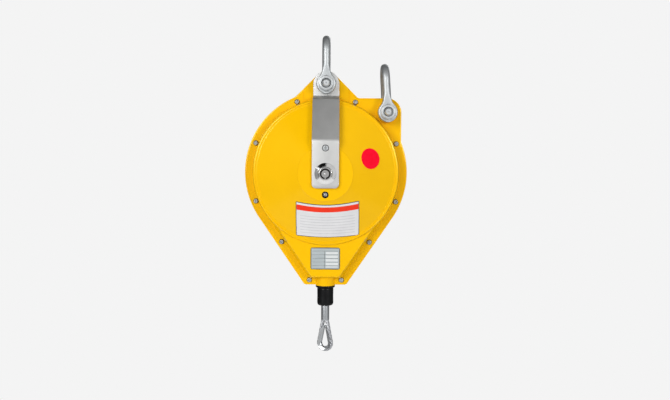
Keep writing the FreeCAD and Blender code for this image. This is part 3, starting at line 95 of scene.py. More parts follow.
# Casing
CASING_RADIUS = 100.0
FLANGE_THICKNESS = 5.0
FOOT_DROP = 140.0
FOOT_CORNER = 4.0
PEAK_BLEND = 15.0
PEAK_RADIUS = 16.0
TAB_RADIUS = 17.5
FUNNEL_ANGLE = math.radians(34.1)
BOSS_DEPTH = 54.0
DOME_RIM_RADIUS = 88.0
DOME_RIM_DEPTH = 24.0
CONE_SLOPE = math.radians(30)
CONE_FOOT_RADIUS = 84.0
CONE_APEX_DEPTH = DOME_RIM_DEPTH + CONE_FOOT_RADIUS * math.tan(CONE_SLOPE)
RIM_COAT = 0.14
RIM_LEAN = math.radians(14)
RIM_GROOVE_RADIUS = 85.4
RIM_GROOVE_WIDTH = 1.5
RIM_GROOVE_DEPTH = 0.5
EDGE_BEAD = 0.45
EDGE_BEAD_WIDTH = 1.6

# Films
LABEL_WIDTH = 77.4
LABEL_TOP = 42.6
LABEL_BOTTOM = 90.2
LABEL_CORNER = 1.3
LABEL_ASIDE = 2.8
STICKER_RADIUS = 12.5
STICKER_DISTANCE = 65.0
STICKER_ANGLE = math.radians(18.4)
PLATE_CORNER = 2.5
FILM = 0.36

# Hanger straps
STRAP_HALF_THICKNESS = 2.0
STRAP_EDGE = 0.7
STRAP_SEAT = 6.5
STRAP_FOOT_BEND = 92.0
STRAP_RIM_BEND = (28.0, 88.6)
STRAP_FACE_BEND = 38.2
STRAP_BEND_RADII = (2.6, 5.0, 8.0)
STRAP_TAIL_CORNER = 5.0

# Screws
SCREW_CIRCLE = 93.7
LOW_SCREW_DROP = 86.5
BOTTOM_SCREW = (20.0, -134.2)
SCREW_HEAD_LENGTH = 3.0
SCREW_HEAD_RADIUS = 2.65
SCREW_HEAD_HEIGHT = 2.9
SOCKET_FLATS = 2.9
SOCKET_DEPTH = 1.9
SCREW_END_RADIUS = 2.2
SCREW_END_HEIGHT = 1.2
CENTRE_MARK_DEPTH = 0.8
# Thin black rings under the screw heads: painted shade round each head, not washers
SHADE_RING_INNER = 2.0
SHADE_RING_OUTER = 3.2
SHADE_RING_HEIGHT = 0.3
STRAP_SHADE_RING_WIDER = 0.8
HEAD_SHOULDER = 0.3
HEAD_DOME = 0.25
RECESS_EDGE = 0.12
STRAP_SCREW_SEAT = 58.0
STRAP_SCREW_HEIGHT = 30.0
STRAP_SCREW_RADIUS = 3.45
STRAP_SCREW_HEAD = 2.4
CROSS_REACH = 2.0
CROSS_HALF_WIDTH = 0.42
CROSS_DEPTH = 1.3
LOCK_SOCKET_FLATS = 2.6
LOCK_SOCKET_DEPTH = 2.2
LOCK_TIP = 6.5
LOCK_TIP_RADIUS = 2.5
LOCK_TIP_CHAMFER = 0.4
COLLAR_INSIDE = 0.05
COLLAR_OUTSIDE = 0.6
COLLAR_DEPTH = 6.0
COLLAR_PROUD = 0.25

# Shackles
BAR_RADIUS = 5.0
EYE_RADIUS = 12.0
EYE_FILLET = 14.0
EYE_POWER = 7
EYE_FADE = (9, 24)
SAFETY_LEAN = math.radians(3.5)
HEX_FLATS = 17.0
HEX_CROWN = 1.2
HEX_CROWN_INSET = 0.35
HEX_CROWN_SLOPE = 1.9
BOLT_HEAD = 6.4
BOLT_POINT_RADIUS = 3.3
BOLT_DIMPLE_RADIUS = 0.9
BOLT_DIMPLE_DEPTH = 0.5
THREAD_PITCH = 1.5
THREAD_DEPTH = 0.75
THREAD_SLACK = 0.1
NUT_BORE = 5.05
NUT_MOUTH = 6.0
NUT_MOUTH_DEPTH = 0.9

# Shaft ends
RING_NUT_BORE = 6.1
RING_NUT_RIM = 0.75
RING_NUT_DISH = (8.4, 2.75)
RING_NUT_LIP = 8.0
RING_NUT_LIP_CHAMFER = 0.5
CLIP_INNER = 4.1
CLIP_THICKNESS = 1.0
CLIP_GAP = math.radians(16)

# Rope end
OUTLET_BORE = 3.2
OUTLET_FLANGE = 2.8
OUTLET_NECK = 9.0
OUTLET_MOUTH = 8.0
STOPPER_BORE = 2.6
STOPPER_WAIST = 0.15
SLEEVE_BORE = 2.5
SLEEVE_RIDGE = 0.12
SLEEVE_RIDGE_WIDTH = 0.09
ROPE_RADIUS = 2.45
ROPE_LAY = 34.0
ROPE_PULL = 1298.6
ROPE_CORE = 0.62
WIRES = 9
WIRE_LAY = 13.0
WIRE_RIPPLE = 0.04
LOOP_BEND = 8.5
LOOP_SPREAD = 2.6
LOOP_YAW = math.radians(24)
THIMBLE_TIP_GAP = 5.5
THIMBLE_SEAT = 0.12
THIMBLE_BACK = 1.75
THIMBLE_HOLLOW = 0.85
THIMBLE_LIP = 0.5


# Meshes

def all_round(count):
    """Even angles once round."""
    return np.linspace(0, TURN, count, endpoint=False)


def heading(angle):
    """The way that each angle points."""
    return np.stack([np.cos(angle), np.sin(angle)], axis=-1)


def unit(vectors):
    """The same ways at length 1."""
    return vectors / np.linalg.norm(vectors, axis=-1, keepdims=True)


def half_width(low, high):
    """Half of a box's size from left to right."""
    return (high[0] - low[0]) / 2


def skin(rows, start=None, end=None, joined=False):
    """Points and faces over rows of rings. Neighbours along a ring and in the next ring share a face; the
    ends close on a pole point each or, when joined, on each other. Turned so that its volume is positive."""
    rows = np.asarray(rows, float)
    count, around = rows.shape[:2]
    index = np.arange(count * around).reshape(count, around)
    near = index if joined else index[:-1]
    far = np.roll(index, -1, axis=0) if joined else index[1:]
    quads = np.stack([near, np.roll(near, -1, 1), np.roll(far, -1, 1), far], axis=-1).reshape(-1, 4)
    points = rows.reshape(-1, 3)
    fans = np.zeros((0, 3), int)
    for pole, ring in ((start, np.roll(index[0][::-1], 1)), (end, index[-1])):
        if pole is not None:
            tip = np.full(around, len(points))
            fans = np.vstack([fans, np.stack([tip, ring, np.roll(ring, -1)], axis=-1)])
            points = np.vstack([points, pole])
    triangles = np.vstack([quads[:, [0, 1, 2]], quads[:, [0, 2, 3]], fans])
    a, b, c = (points[triangles[:, k]] for k in range(3))
    if np.einsum("ij,ij->i", a, np.cross(b, c)).sum() < 0:
        quads, fans = quads[:, ::-1], fans[:, ::-1]
    return points, quads, fans


def capped(rows, joined=False):
    """A skin whose open ends close on the middle of their rings."""
    if joined:
        return skin(rows, joined=True)
    return skin(rows, start=rows[0].mean(0), end=rows[-1].mean(0))


def piece_of(name, *skins, uv=None, crease=42):
    """One mesh from closed skins, smooth but for edges sharper than the crease in degrees."""
    starts = np.cumsum([0] + [len(points) for points, quads, fans in skins])
    points = np.vstack([part[0] for part in skins])
    quads = np.vstack([part[1] + start for part, start in zip(skins, starts)])
    fans = np.vstack([part[2] + start for part, start in zip(skins, starts)])
    mesh = bpy.data.meshes.new(name)
    mesh.from_pydata((points * MM).tolist(), [], quads.tolist() + fans.tolist())
    if uv is not None:
        corners = np.concatenate([quads.ravel(), fans.ravel()])
        layer = mesh.uv_layers.new(name="surface")
        layer.data.foreach_set("uv", uv[corners].astype(np.float32).ravel())
    mesh.shade_smooth()
    mesh.set_sharp_from_angle(angle=math.radians(crease))
    piece = bpy.data.objects.new(name, mesh)
    bpy.context.scene.collection.objects.link(piece)
    return piece


def settle(piece, body, slot, *nodes):
    """Give a piece its body, its finish and the CAD nodes that it stands for."""
    piece.data.materials.append(FINISHES[slot])
    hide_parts(*nodes)
    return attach(piece, body)


def rounded_line(points, radii, steps=8):
    """A broken line whose inner corners are arcs: each arc touches both legs at a run of radius times the
    tangent of half the turn."""
    points = np.asarray(points, float)
    line = [points[:1]]
    for before, corner, after, radius in zip(points, points[1:], points[2:], radii):
        along, onward = unit(corner - before), unit(after - corner)
        turn = math.acos(np.clip(along @ onward, -1, 1))
        side = unit(onward - (along @ onward) * along)
        run = radius * math.tan(turn / 2)
        swing = np.linspace(0, turn, steps)[:, None]
        line.append(corner - run * along + radius * (np.sin(swing) * along + (1 - np.cos(swing)) * side))
    line.append(points[-1:])
    return np.vstack(line)


def turned_rows(profile, centre, axis, around=96):
    """Each profile point, a radius and a length along the axis, swung round that axis."""
    angle = all_round(around)
    radius, along = np.asarray(profile, float).T
    across, up = radius[:, None] * np.cos(angle), radius[:, None] * np.sin(angle)
    length = np.broadcast_to(along[:, None], across.shape)
    order = {"y": (across, length, up), "z": (across, up, length)}[axis]
    return np.stack(order, axis=-1) + centre


def smooth(low, high, value):
    """0 below low, 1 above high, with level ends between."""
    share = np.clip((value - low) / (high - low), 0, 1)
    return share * share * (3 - 2 * share)


# Films on the casing

def rounded_rectangle(width, height, corner, arc=8, side=14):
    """A closed outline: four quarter arcs joined by straight runs with points along them."""
    quarter = np.linspace(0, np.pi / 2, arc)
    centres = np.array([(1, 1), (-1, 1), (-1, -1), (1, -1)]) * (width / 2 - corner, height / 2 - corner)
    arcs = [c + corner * heading(quarter + k * np.pi / 2) for k, c in enumerate(centres)]
    share = np.linspace(0, 1, side)[1:-1, None]
    pieces = []
    for k in range(4):
        pieces += [arcs[k], arcs[k][-1] * (1 - share) + arcs[(k + 1) % 4][0] * share]
    return np.vstack(pieces)


def film(name, outline, seat, rings=16):
    """A thin plate: the outline shrunk towards its middle in even steps on the under side and again on the
    upper side, joined by an edge whose last part leans in. seat puts a flat point on the casing."""
    shares = np.linspace(0.06, 1, rings)
    steps = [(share, 0.0) for share in shares] + [(1.0, 0.6 * FILM), (0.996, FILM)]
    steps += [(share, FILM) for share in shares[-2::-1]]
    flat = np.array([share for share, height in steps])[:, None, None] * outline
    height = np.array([height for share, height in steps])[:, None] * np.ones(len(outline))
    span = outline.max(0) - outline.min(0)
    uv = np.vstack([(flat / span + 0.5).reshape(-1, 2), [(0.5, 0.5), (0.5, 0.5)]])
    origin = np.zeros((1, 1))
    sheet = skin(seat(flat[..., 0], flat[..., 1], height), start=seat(origin, origin, origin)[0, 0],
                 end=seat(origin, origin, origin + FILM)[0, 0])
    return piece_of(name, sheet, uv=uv)


def on_cone(slant, direction, aside=0.0):
    """A flat sheet rolled on to the cone: a point's distance from the tip is kept, its angle there is
    widened by the cosine of the slope, and its height stands square to the cone."""
    def seat(across, up, height):
        across = across + aside
        away = np.hypot(across, slant - up)
        angle = direction + np.arctan2(across, slant - up) / math.cos(CONE_SLOPE)
        radius = away * math.cos(CONE_SLOPE) + height * math.sin(CONE_SLOPE)
        depth = CONE_APEX_DEPTH - away * math.sin(CONE_SLOPE) + height * math.cos(CONE_SLOPE)
        return SHAFT + np.stack([radius * np.cos(angle), -depth, radius * np.sin(angle)], axis=-1)
    return seat


def on_funnel(across, up, height):
    """A flat sheet on the funnel's face."""
    centre = (PLATE_LOW + PLATE_HIGH) / 2
    return np.stack([centre[0] + across, PLATE_HIGH[1] - height, centre[2] + up], axis=-1)


def casing_films():
    """The label and the round sticker on the cone, and the plate on the funnel."""
    disc = STICKER_RADIUS * heading(all_round(96))
    label = rounded_rectangle(LABEL_WIDTH, LABEL_BOTTOM - LABEL_TOP, LABEL_CORNER)
    plate = rounded_rectangle(*(PLATE_HIGH - PLATE_LOW)[[0, 2]], PLATE_CORNER)
    down = on_cone((LABEL_TOP + LABEL_BOTTOM) / 2, -np.pi / 2, LABEL_ASIDE)
    beside = on_cone(STICKER_DISTANCE, STICKER_ANGLE)
    settle(film("label_film", label, down), "casing", "label_film", "label_plate")
    settle(film("sticker_film", disc, beside), "casing", "sticker_film", "round_sticker")
    settle(film("plate_foil", plate, on_funnel), "casing", "plate_foil", "rating_plate")


# Painted edges of the casing

def ring_pair(name, rows):
    """The same closed ring on the front half and, mirrored, on the rear half."""
    return piece_of(name, capped(rows, joined=True), capped(rows * (1, -1, 1), joined=True))


def dome_rims():
    """The painted rim of each dome, a thin ring turned about the shaft: from the foot of the cone over a
    round groove to a facet that leans outwards, then a small arc down to the wall."""
    land = DOME_RIM_DEPTH + RIM_COAT
    floor = land - RIM_GROOVE_DEPTH
    inner = RIM_GROOVE_RADIUS - RIM_GROOVE_WIDTH / 2
    outer = RIM_GROOVE_RADIUS + RIM_GROOVE_WIDTH / 2
    foot, wall = CONE_FOOT_RADIUS - 0.5, DOME_RIM_RADIUS + RIM_COAT
    shoulder = wall - 0.5
    fall = (shoulder - outer) * math.tan(RIM_LEAN)
    rise = (CONE_FOOT_RADIUS - foot) * math.tan(CONE_SLOPE) + 0.05
    corners = [(foot, floor - 0.5), (foot, DOME_RIM_DEPTH + rise), (inner, land), (inner + 0.35, floor),
               (outer - 0.35, floor), (outer, land), (shoulder, land - fall), (wall, land - 1.2),
               (wall, land - 2.1), (outer + 0.9, land - 1.8)]
    line = rounded_line(corners, (0.05, 0.35, 0.2, 0.2, 0.3, 0.5, 0.4, 0.05))
    rows = turned_rows(line * (1, -1), SHAFT, "y", around=320)
    settle(ring_pair("dome_rims", rows), "casing", "yellow_paint")


def arc_reach(right, up, centre, radius, side):
    """Where rays from the shaft meet a circle, on its far side for 1 and its near side for -1."""
    ahead = centre[0] * right + centre[1] * up
    inside = radius ** 2 - centre[0] ** 2 - centre[1] ** 2 + ahead ** 2
    return ahead + side * np.sqrt(np.clip(inside, 0, None))


def between(angle, first, last):
    """Whether each angle lies between the directions of two points."""
    return (angle > math.atan2(first[1], first[0])) & (angle < math.atan2(last[1], last[0]))


def flange_reach(angle):
    """Distance from the shaft to the flange's outline at each angle: the farthest of the round casing, the
    funnel under its two tangents, the peak under its two 45 degree lines and the tab, with their rounds."""
    right, up = np.cos(angle), np.sin(angle)
    fold = np.arctan2(up, np.abs(right))
    lean = np.array([math.cos(FUNNEL_ANGLE), -math.sin(FUNNEL_ANGLE)])
    foot_z = FOOT_CORNER - FOOT_DROP
    foot = np.array([(CASING_RADIUS - FOOT_CORNER - lean[1] * foot_z) / lean[0], foot_z])
    funnel = np.minimum(CASING_RADIUS / np.maximum(np.cos(fold + FUNNEL_ANGLE), 0.1),
                        FOOT_DROP / np.maximum(-up, 0.1))
    funnel = np.where(between(fold, foot - (0, FOOT_CORNER), foot + FOOT_CORNER * lean),
                      arc_reach(np.abs(right), up, foot, FOOT_CORNER, 1), funnel)
    pin = PIN[2] - SHAFT[2]
    touch = PEAK_RADIUS * math.sqrt(0.5)
    slope = pin * math.sqrt(0.5) + PEAK_RADIUS
    peak = np.where(fold > math.atan2(pin + touch, touch), arc_reach(right, up, (0, pin), PEAK_RADIUS, 1),
                    slope / np.maximum(np.cos(fold - np.pi / 4), 0.1))
    tab = np.array([TAB[0] - SHAFT[0], TAB[2] - SHAFT[2]])
    flat = np.minimum((tab[0] + TAB_RADIUS) / np.maximum(right, 0.1),
                      (tab[1] + TAB_RADIUS) / np.maximum(up, 0.1))
    corner = between(angle, tab + (TAB_RADIUS, 0), tab + (0, TAB_RADIUS))
    flat = np.where(corner, arc_reach(right, up, tab, TAB_RADIUS, 1), flat)
    reach = np.where(fold < -FUNNEL_ANGLE, funnel, CASING_RADIUS)
    reach = np.where(fold > np.pi / 4, np.maximum(reach, peak), reach)
    reach = np.where((right > 0.2) & (up > 0.2), np.maximum(reach, flat), reach)
    out = slope + PEAK_BLEND
    along = math.sqrt((CASING_RADIUS + PEAK_BLEND) ** 2 - out ** 2)
    blend = np.array([along - out, along + out]) * math.sqrt(0.5)
    root = between(angle, blend + PEAK_BLEND * np.array([1, -1]) * math.sqrt(0.5), blend)
    return np.where(root, arc_reach(right, up, blend, PEAK_BLEND, -1), reach)


def flange_edges():
    """The painted edge of each flange: a low bead with a facet that leans outwards, carried round the
    outline."""
    angle = np.linspace(-np.pi, np.pi, 2400, endpoint=False)
    path = flange_reach(angle)[:, None] * heading(angle)
    ahead = unit(np.roll(path, -1, axis=0) - np.roll(path, 1, axis=0))
    outward = np.stack([ahead[:, 1], -ahead[:, 0]], axis=-1)
    face, wall = FLANGE_THICKNESS, FLANGE_THICKNESS - 1.0
    heel = -EDGE_BEAD_WIDTH - 0.3
    corners = [(-1.0, wall), (heel, wall + 0.5), (heel, face), (-EDGE_BEAD_WIDTH, face + EDGE_BEAD),
               (RIM_COAT, face), (RIM_COAT, wall)]
    out, depth = rounded_line(corners, (0.05, 0.05, 0.15, 0.3), steps=4).T
    flat = path[:, None] + out[:, None] * outward[:, None]
    rows = SHAFT + np.stack([flat[..., 0], np.broadcast_to(-depth, flat.shape[:2]), flat[..., 1]], axis=-1)
    settle(ring_pair("flange_edges", rows), "casing", "yellow_paint")


# Hanger straps

def strap_line():
    """Depth and height of the bar's middle line, from its round top over the rim to its tail."""
    face = -STRAP_LOW[1] - STRAP_HALF_THICKNESS
    foot = STRAP_HALF_THICKNESS + STRAP_SEAT
    top, tail = STRAP_HIGH[2] - SHAFT[2], STRAP_LOW[2] - SHAFT[2]
    bends = [(foot, top), (foot, STRAP_FOOT_BEND), STRAP_RIM_BEND, (face, STRAP_FACE_BEND), (face, tail)]
    half = half_width(STRAP_LOW, STRAP_HIGH)
    crown = top - half + half * np.cos(np.linspace(0.03, np.pi / 2, 26))
    heel = tail + STRAP_TAIL_CORNER * (1 - np.cos(np.linspace(np.pi / 2, 0, 10)))
    line = np.vstack([np.stack([np.full(26, foot), crown], -1), rounded_line(bends, STRAP_BEND_RADII)[1:-1],
                      np.stack([np.full(10, face), heel], -1)])
    round_top = np.sqrt(half ** 2 - np.clip(line[:, 1] - (top - half), 0, half) ** 2)
    corner = np.clip(tail + STRAP_TAIL_CORNER - line[:, 1], 0, STRAP_TAIL_CORNER)
    cut_tail = half - STRAP_TAIL_CORNER + np.sqrt(STRAP_TAIL_CORNER ** 2 - corner ** 2)
    return line, np.minimum(round_top, cut_tail)


def strap_rows(side):
    """A flat section with rounded edges carried along the bent line; its half width follows a circle at the
    round top and shrinks by a corner arc at the tail."""
    line, width = strap_line()
    ahead = unit(np.gradient(line, axis=0))
    angle = (np.linspace(0, np.pi / 2, 5) + np.arange(4)[:, None] * np.pi / 2).ravel()
    right = np.repeat([1, -1, -1, 1], 5)
    front = np.repeat([1, 1, -1, -1], 5)
    edge = np.minimum(STRAP_EDGE, width)[:, None]
    across = right * (width[:, None] - edge) + edge * np.cos(angle)
    out = front * (STRAP_HALF_THICKNESS - STRAP_EDGE) + STRAP_EDGE * np.sin(angle)
    depth = line[:, :1] - ahead[:, 1:] * out
    rise = line[:, 1:] + ahead[:, :1] * out
    return SHAFT + np.stack([across, side * depth, rise], axis=-1)


def hanger_straps():
    """The strap in front and the same strap behind."""
    for node, side in (("front_strap", -1), ("rear_strap", 1)):
        settle(piece_of(node + "_bar", capped(strap_rows(side))), "casing", "strap_steel", node)


# Screws

def hexagon(angle, flats):
    """Distance from the middle to a hexagon's side, at each angle."""
    fold = (angle + np.pi / 6) % (np.pi / 3) - np.pi / 6
    return flats / 2 / np.cos(fold)


def head_rows(radius, height, depth, recess, around=72):
    """A screw head over share and angle: a straight side, a rounded shoulder, a low dome, and a recess that
    drops by the depth wherever its mark is below 0."""
    angle = all_round(around)
    shoulder = np.linspace(0, np.pi / 2, 6)
    dome = np.linspace(0.66, 0.04, 26)
    soft = HEAD_SHOULDER * radius
    share = np.concatenate([[1.0], 1 - HEAD_SHOULDER * (1 - np.cos(shoulder)), dome])
    level = np.concatenate([[0.0], height - (1 + HEAD_DOME) * soft + soft * np.sin(shoulder),
                            height - HEAD_DOME * soft * (dome / (1 - HEAD_SHOULDER)) ** 2])
    x, z = radius * share[:, None] * np.cos(angle), radius * share[:, None] * np.sin(angle)
    drop = depth * smooth(RECESS_EDGE, -RECESS_EDGE, recess(x, z))
    return np.stack([x, -(level[:, None] - drop), z], axis=-1)


def hexagon_mark(flats):
    """How far a point lies outside a hexagon of those flats."""
    return lambda x, z: np.hypot(x, z) - hexagon(np.arctan2(z, x), flats)


def cross_mark(reach, half):
    """How far a point lies outside a cross of two bars."""
    def mark(x, z):
        long, short = np.maximum(np.abs(x), np.abs(z)), np.minimum(np.abs(x), np.abs(z))
        return np.maximum(long - reach, short - half)
    return mark


def screw_places():
    """Middle of each casing screw: six on the circle, two on the funnel's sides and two at its foot."""
    angle = np.radians([22.5, 67.5, 112.5, 157.5, 202.5, 337.5])
    ring = SCREW_CIRCLE * heading(angle)
    side = (SCREW_CIRCLE - LOW_SCREW_DROP * math.sin(FUNNEL_ANGLE)) / math.cos(FUNNEL_ANGLE)
    foot, level = BOTTOM_SCREW
    low = [(side, -LOW_SCREW_DROP), (-side, -LOW_SCREW_DROP), (foot, level), (-foot, level)]
    return np.vstack([ring, low])


def casing_screws():
    """Socket heads in front, and rounded ends with a small centre mark behind."""
    head = head_rows(SCREW_HEAD_RADIUS, SCREW_HEAD_HEIGHT, SOCKET_DEPTH, hexagon_mark(SOCKET_FLATS))
    end = head_rows(SCREW_END_RADIUS, SCREW_END_HEIGHT, CENTRE_MARK_DEPTH, cross_mark(0.0, 0.0)) * (1, -1, 1)
    front, rear = SCREW_LOW[1] + SCREW_HEAD_LENGTH, SCREW_HIGH[1] - SCREW_END_HEIGHT
    heads = [capped(head + (x, front, z) + SHAFT) for x, z in screw_places()]
    ends = [capped(end + (x, rear, z) + SHAFT) for x, z in screw_places()]
    settle(piece_of("casing_screw_heads", *heads, *ends, crease=50), "casing", "zinc_plate", "casing_screws")


# Painted shade: black rings round the screw heads stand in for the shade round each head
def screw_shade_rings():
    """Thin black rings under the casing screws and wider ones under the two strap screws: painted shade round
    each head.
    """
    shade_ring = np.array([(SHADE_RING_INNER, 0), (SHADE_RING_OUTER, 0), (SHADE_RING_OUTER, -SHADE_RING_HEIGHT),
                       (SHADE_RING_INNER, -SHADE_RING_HEIGHT)])
    seat = turned_rows(shade_ring + (0, SCREW_LOW[1] + SCREW_HEAD_LENGTH), (0, 0, 0), "y", around=40)
    seats = [capped(seat + (x, 0, z) + SHAFT, joined=True) for x, z in screw_places()]
    wide = turned_rows(shade_ring + (STRAP_SHADE_RING_WIDER, -STRAP_SCREW_SEAT), (0, 0, STRAP_SCREW_HEIGHT), "y",
                       around=48) + SHAFT
    seats += [capped(wide, joined=True), capped(wide * (1, -1, 1), joined=True)]
    settle(piece_of("screw_shade_rings", *seats), "casing", "black_steel")


def lock_screw():
    """A socket screw with a thin tip that points inwards, in a collar set in the casing's boss."""
    long, wide = (LOCK_HIGH - LOCK_LOW)[[1, 0]]
    radius, height = wide / 2, LOCK_LOW[2] + wide / 2
    near, far = radius + COLLAR_INSIDE, radius + COLLAR_OUTSIDE
    collar = rounded_line([(near, -COLLAR_DEPTH), (far, -COLLAR_DEPTH), (far, COLLAR_PROUD),
                           (near, COLLAR_PROUD)], (0.1, 0.2), steps=4)
    ring = turned_rows(collar * (1, -1) - (0, BOSS_DEPTH), (0, 0, height), "y", around=64)
    settle(piece_of("lock_screw_collar", capped(ring, joined=True)), "casing", "black_nylon")
    bar = head_rows(radius, long, LOCK_SOCKET_DEPTH, hexagon_mark(LOCK_SOCKET_FLATS))
    bar[0, :, 1] = -LOCK_TIP
    tip = [(LOCK_TIP_RADIUS - LOCK_TIP_CHAMFER, 0), (LOCK_TIP_RADIUS, -LOCK_TIP_CHAMFER),
           (LOCK_TIP_RADIUS, -LOCK_TIP)]
    bar = np.vstack([turned_rows(tip, (0, 0, 0), "y", around=72), bar]) + (0, LOCK_HIGH[1], height)
    settle(piece_of("lock_screw_bar", capped(bar), crease=50), "lock_screw", "polished_steel",
           "drum_lock_screw")


def strap_screws():
    """Domed heads with a cross recess, on the front strap and on the rear one."""
    cross = cross_mark(CROSS_REACH, CROSS_HALF_WIDTH)
    head = head_rows(STRAP_SCREW_RADIUS, STRAP_SCREW_HEAD, CROSS_DEPTH, cross)
    head = head + (0, -STRAP_SCREW_SEAT, STRAP_SCREW_HEIGHT)
    front, rear = capped(head + SHAFT), capped(head * (1, -1, 1) + SHAFT)
    settle(piece_of("strap_screw_heads", front, rear, crease=50), "casing", "zinc_plate", "strap_screws")


# Shackles, drawn about their bolt

def bow_width(height):
    """Half width beside the bolt: the eye's circle, a fillet arc that touches it, then the bar."""
    centre = BAR_RADIUS + EYE_FILLET
    level = math.sqrt((EYE_RADIUS + EYE_FILLET) ** 2 - centre ** 2)
    touch = level * EYE_RADIUS / (EYE_RADIUS + EYE_FILLET)
    eye = np.sqrt(np.clip(EYE_RADIUS ** 2 - height ** 2, 0.04, None))
    fillet = centre - np.sqrt(np.clip(EYE_FILLET ** 2 - (level - height) ** 2, 0, None))
    return np.where(height < touch, eye, np.where(height < level, fillet, BAR_RADIUS))


def bow_rows():
    """A bar swept up one leg, round the crown and down the other. Its section is a rounded square whose
    power falls from that of the flat eyes to 2 on the round bar."""
    leg = (BOLT_HIGH[1] - BOLT_HEAD) - BAR_RADIUS
    crown = SHACKLE_TOP - PIN[2] - BAR_RADIUS - leg
    climb = np.concatenate([-EYE_RADIUS * np.cos(np.linspace(0.05, np.pi / 2, 22)),
                            np.linspace(0, crown, 54)[1:]])
    swing = np.linspace(0, np.pi, 50)[1:-1]
    depth = np.concatenate([np.full(len(climb), -leg), -leg * np.cos(swing), np.full(len(climb), leg)])
    height = np.concatenate([climb, crown + leg * np.sin(swing), climb[::-1]])
    lean = np.concatenate([np.zeros(len(climb)), swing, np.full(len(climb), np.pi)])
    width = bow_width(height)
    power = (2 / (EYE_POWER - (EYE_POWER - 2) * smooth(*EYE_FADE, height)))[:, None]
    angle = all_round(48)
    across = width[:, None] * np.sign(np.cos(angle)) * np.abs(np.cos(angle)) ** power
    out = BAR_RADIUS * np.sign(np.sin(angle)) * np.abs(np.sin(angle)) ** power
    y = depth[:, None] - np.cos(lean)[:, None] * out
    z = height[:, None] + np.sin(lean)[:, None] * out
    return np.stack([across, y, z], axis=-1)


def crowned_hexagon(angle, height, total):
    """The hexagon cut back by a cone over its last part, as on a pressed nut or bolt head."""
    cone = HEX_FLATS / 2 - HEX_CROWN_INSET + (total - height) * HEX_CROWN_SLOPE
    return np.minimum(hexagon(angle, HEX_FLATS), cone)


def about_bolt(steps, angle):
    """Rings about the bolt's line, from steps of a length along it and the distances round it."""
    length = np.array([along for along, distance in steps])[:, None] * np.ones(len(angle))
    radius = np.array([distance for along, distance in steps])
    return np.stack([radius * np.cos(angle), length, radius * np.sin(angle)], axis=-1)


def bolt_rows(around=192):
    """Distance from the bolt's axis over angle and length: hexagon head, plain shank, then a thread whose
    groove runs round once for each pitch, ending in a cone."""
    angle = all_round(around)
    head, eye_end = BOLT_HIGH[1], BOLT_HIGH[1] - BOLT_HEAD
    drops = np.append(np.linspace(0, HEX_CROWN, 14), BOLT_HEAD)
    rows = [(head - drop, crowned_hexagon(angle, BOLT_HEAD - drop, BOLT_HEAD)) for drop in drops]
    rows.append((eye_end, np.full(around, BAR_RADIUS)))
    lengths = np.linspace(NUT_LOW[1], BOLT_LOW[1], 40)
    groove = THREAD_DEPTH * (0.5 - 0.5 * np.cos(TURN * lengths[:, None] / THREAD_PITCH + angle))
    end = BOLT_POINT_RADIUS + lengths - BOLT_LOW[1]
    thread = np.minimum(BAR_RADIUS - THREAD_SLACK - groove, end[:, None])
    rows += list(zip(lengths, thread))
    rows += [(BOLT_LOW[1], np.full(around, BOLT_DIMPLE_RADIUS)),
             (BOLT_LOW[1] + BOLT_DIMPLE_DEPTH, np.full(around, 0.2))]
    return about_bolt(rows, angle)


def nut_rows(around=192):
    """A hexagon ring: out along the bearing face, up the crowned sides, in over the chamfer to the bore."""
    angle = all_round(around)
    back, total = NUT_HIGH[1], NUT_HIGH[1] - NUT_LOW[1]
    heights = np.append(0.0, np.linspace(total - HEX_CROWN, total, 14))
    rows = [(height, crowned_hexagon(angle, height, total)) for height in heights]
    bore = np.full(around, NUT_BORE)
    rows += [(total, np.full(around, NUT_MOUTH)), (total - NUT_MOUTH_DEPTH, bore), (0.0, bore)]
    return about_bolt([(back - height, radius) for height, radius in rows], angle)


def leaning(rows, lean, pin):
    """Turn rows about the bolt and carry them to their pin."""
    x, y, z = np.moveaxis(rows, -1, 0)
    turned = (x * math.cos(lean) - z * math.sin(lean), y, x * math.sin(lean) + z * math.cos(lean))
    return np.stack(turned, axis=-1) + (pin[0], 0, pin[2])


def shackles():
    """Bow, bolt and nut of the top shackle, and of the safety shackle with its slight lean."""
    for name, pin, lean in (("top_shackle", PIN, 0.0), ("safety_shackle", TAB, SAFETY_LEAN)):
        for piece, rows, joined in (("bow", bow_rows(), False), ("bolt", bolt_rows(), False),
                                    ("nut", nut_rows(), True)):
            shape = capped(leaning(rows, lean, pin), joined)
            made = piece_of("%s_%s_forged" % (name, piece), shape, crease=30)
            settle(made, name, "zinc_plate", "%s_%s" % (name, piece))


# Shaft ends

def ring_nuts():
    """A dished disc with a rolled rim and a raised lip, turned about the shaft."""
    outer = half_width(RING_NUT_LOW, RING_NUT_HIGH)
    tall = RING_NUT_HIGH[1] - RING_NUT_LOW[1]
    profile = rounded_line([(RING_NUT_BORE, 0), (outer, 0), (outer, RING_NUT_RIM), RING_NUT_DISH,
                            (RING_NUT_LIP, tall - RING_NUT_LIP_CHAMFER),
                            (RING_NUT_LIP - RING_NUT_LIP_CHAMFER, tall), (RING_NUT_BORE, tall)],
                           (0.15, 0.4, 0.5, 0.4, 0.4), steps=7)
    base = RING_NUT_HIGH[1]
    for node, seat, way in (("front_ring_nut", base, -1), ("rear_ring_nut", -base, 1)):
        rows = turned_rows(profile * (1, way) + (0, seat), (SHAFT[0], 0, SHAFT[2]), "y", around=128)
        settle(piece_of(node + "_turned", capped(rows, joined=True)), "casing", "polished_steel", node)


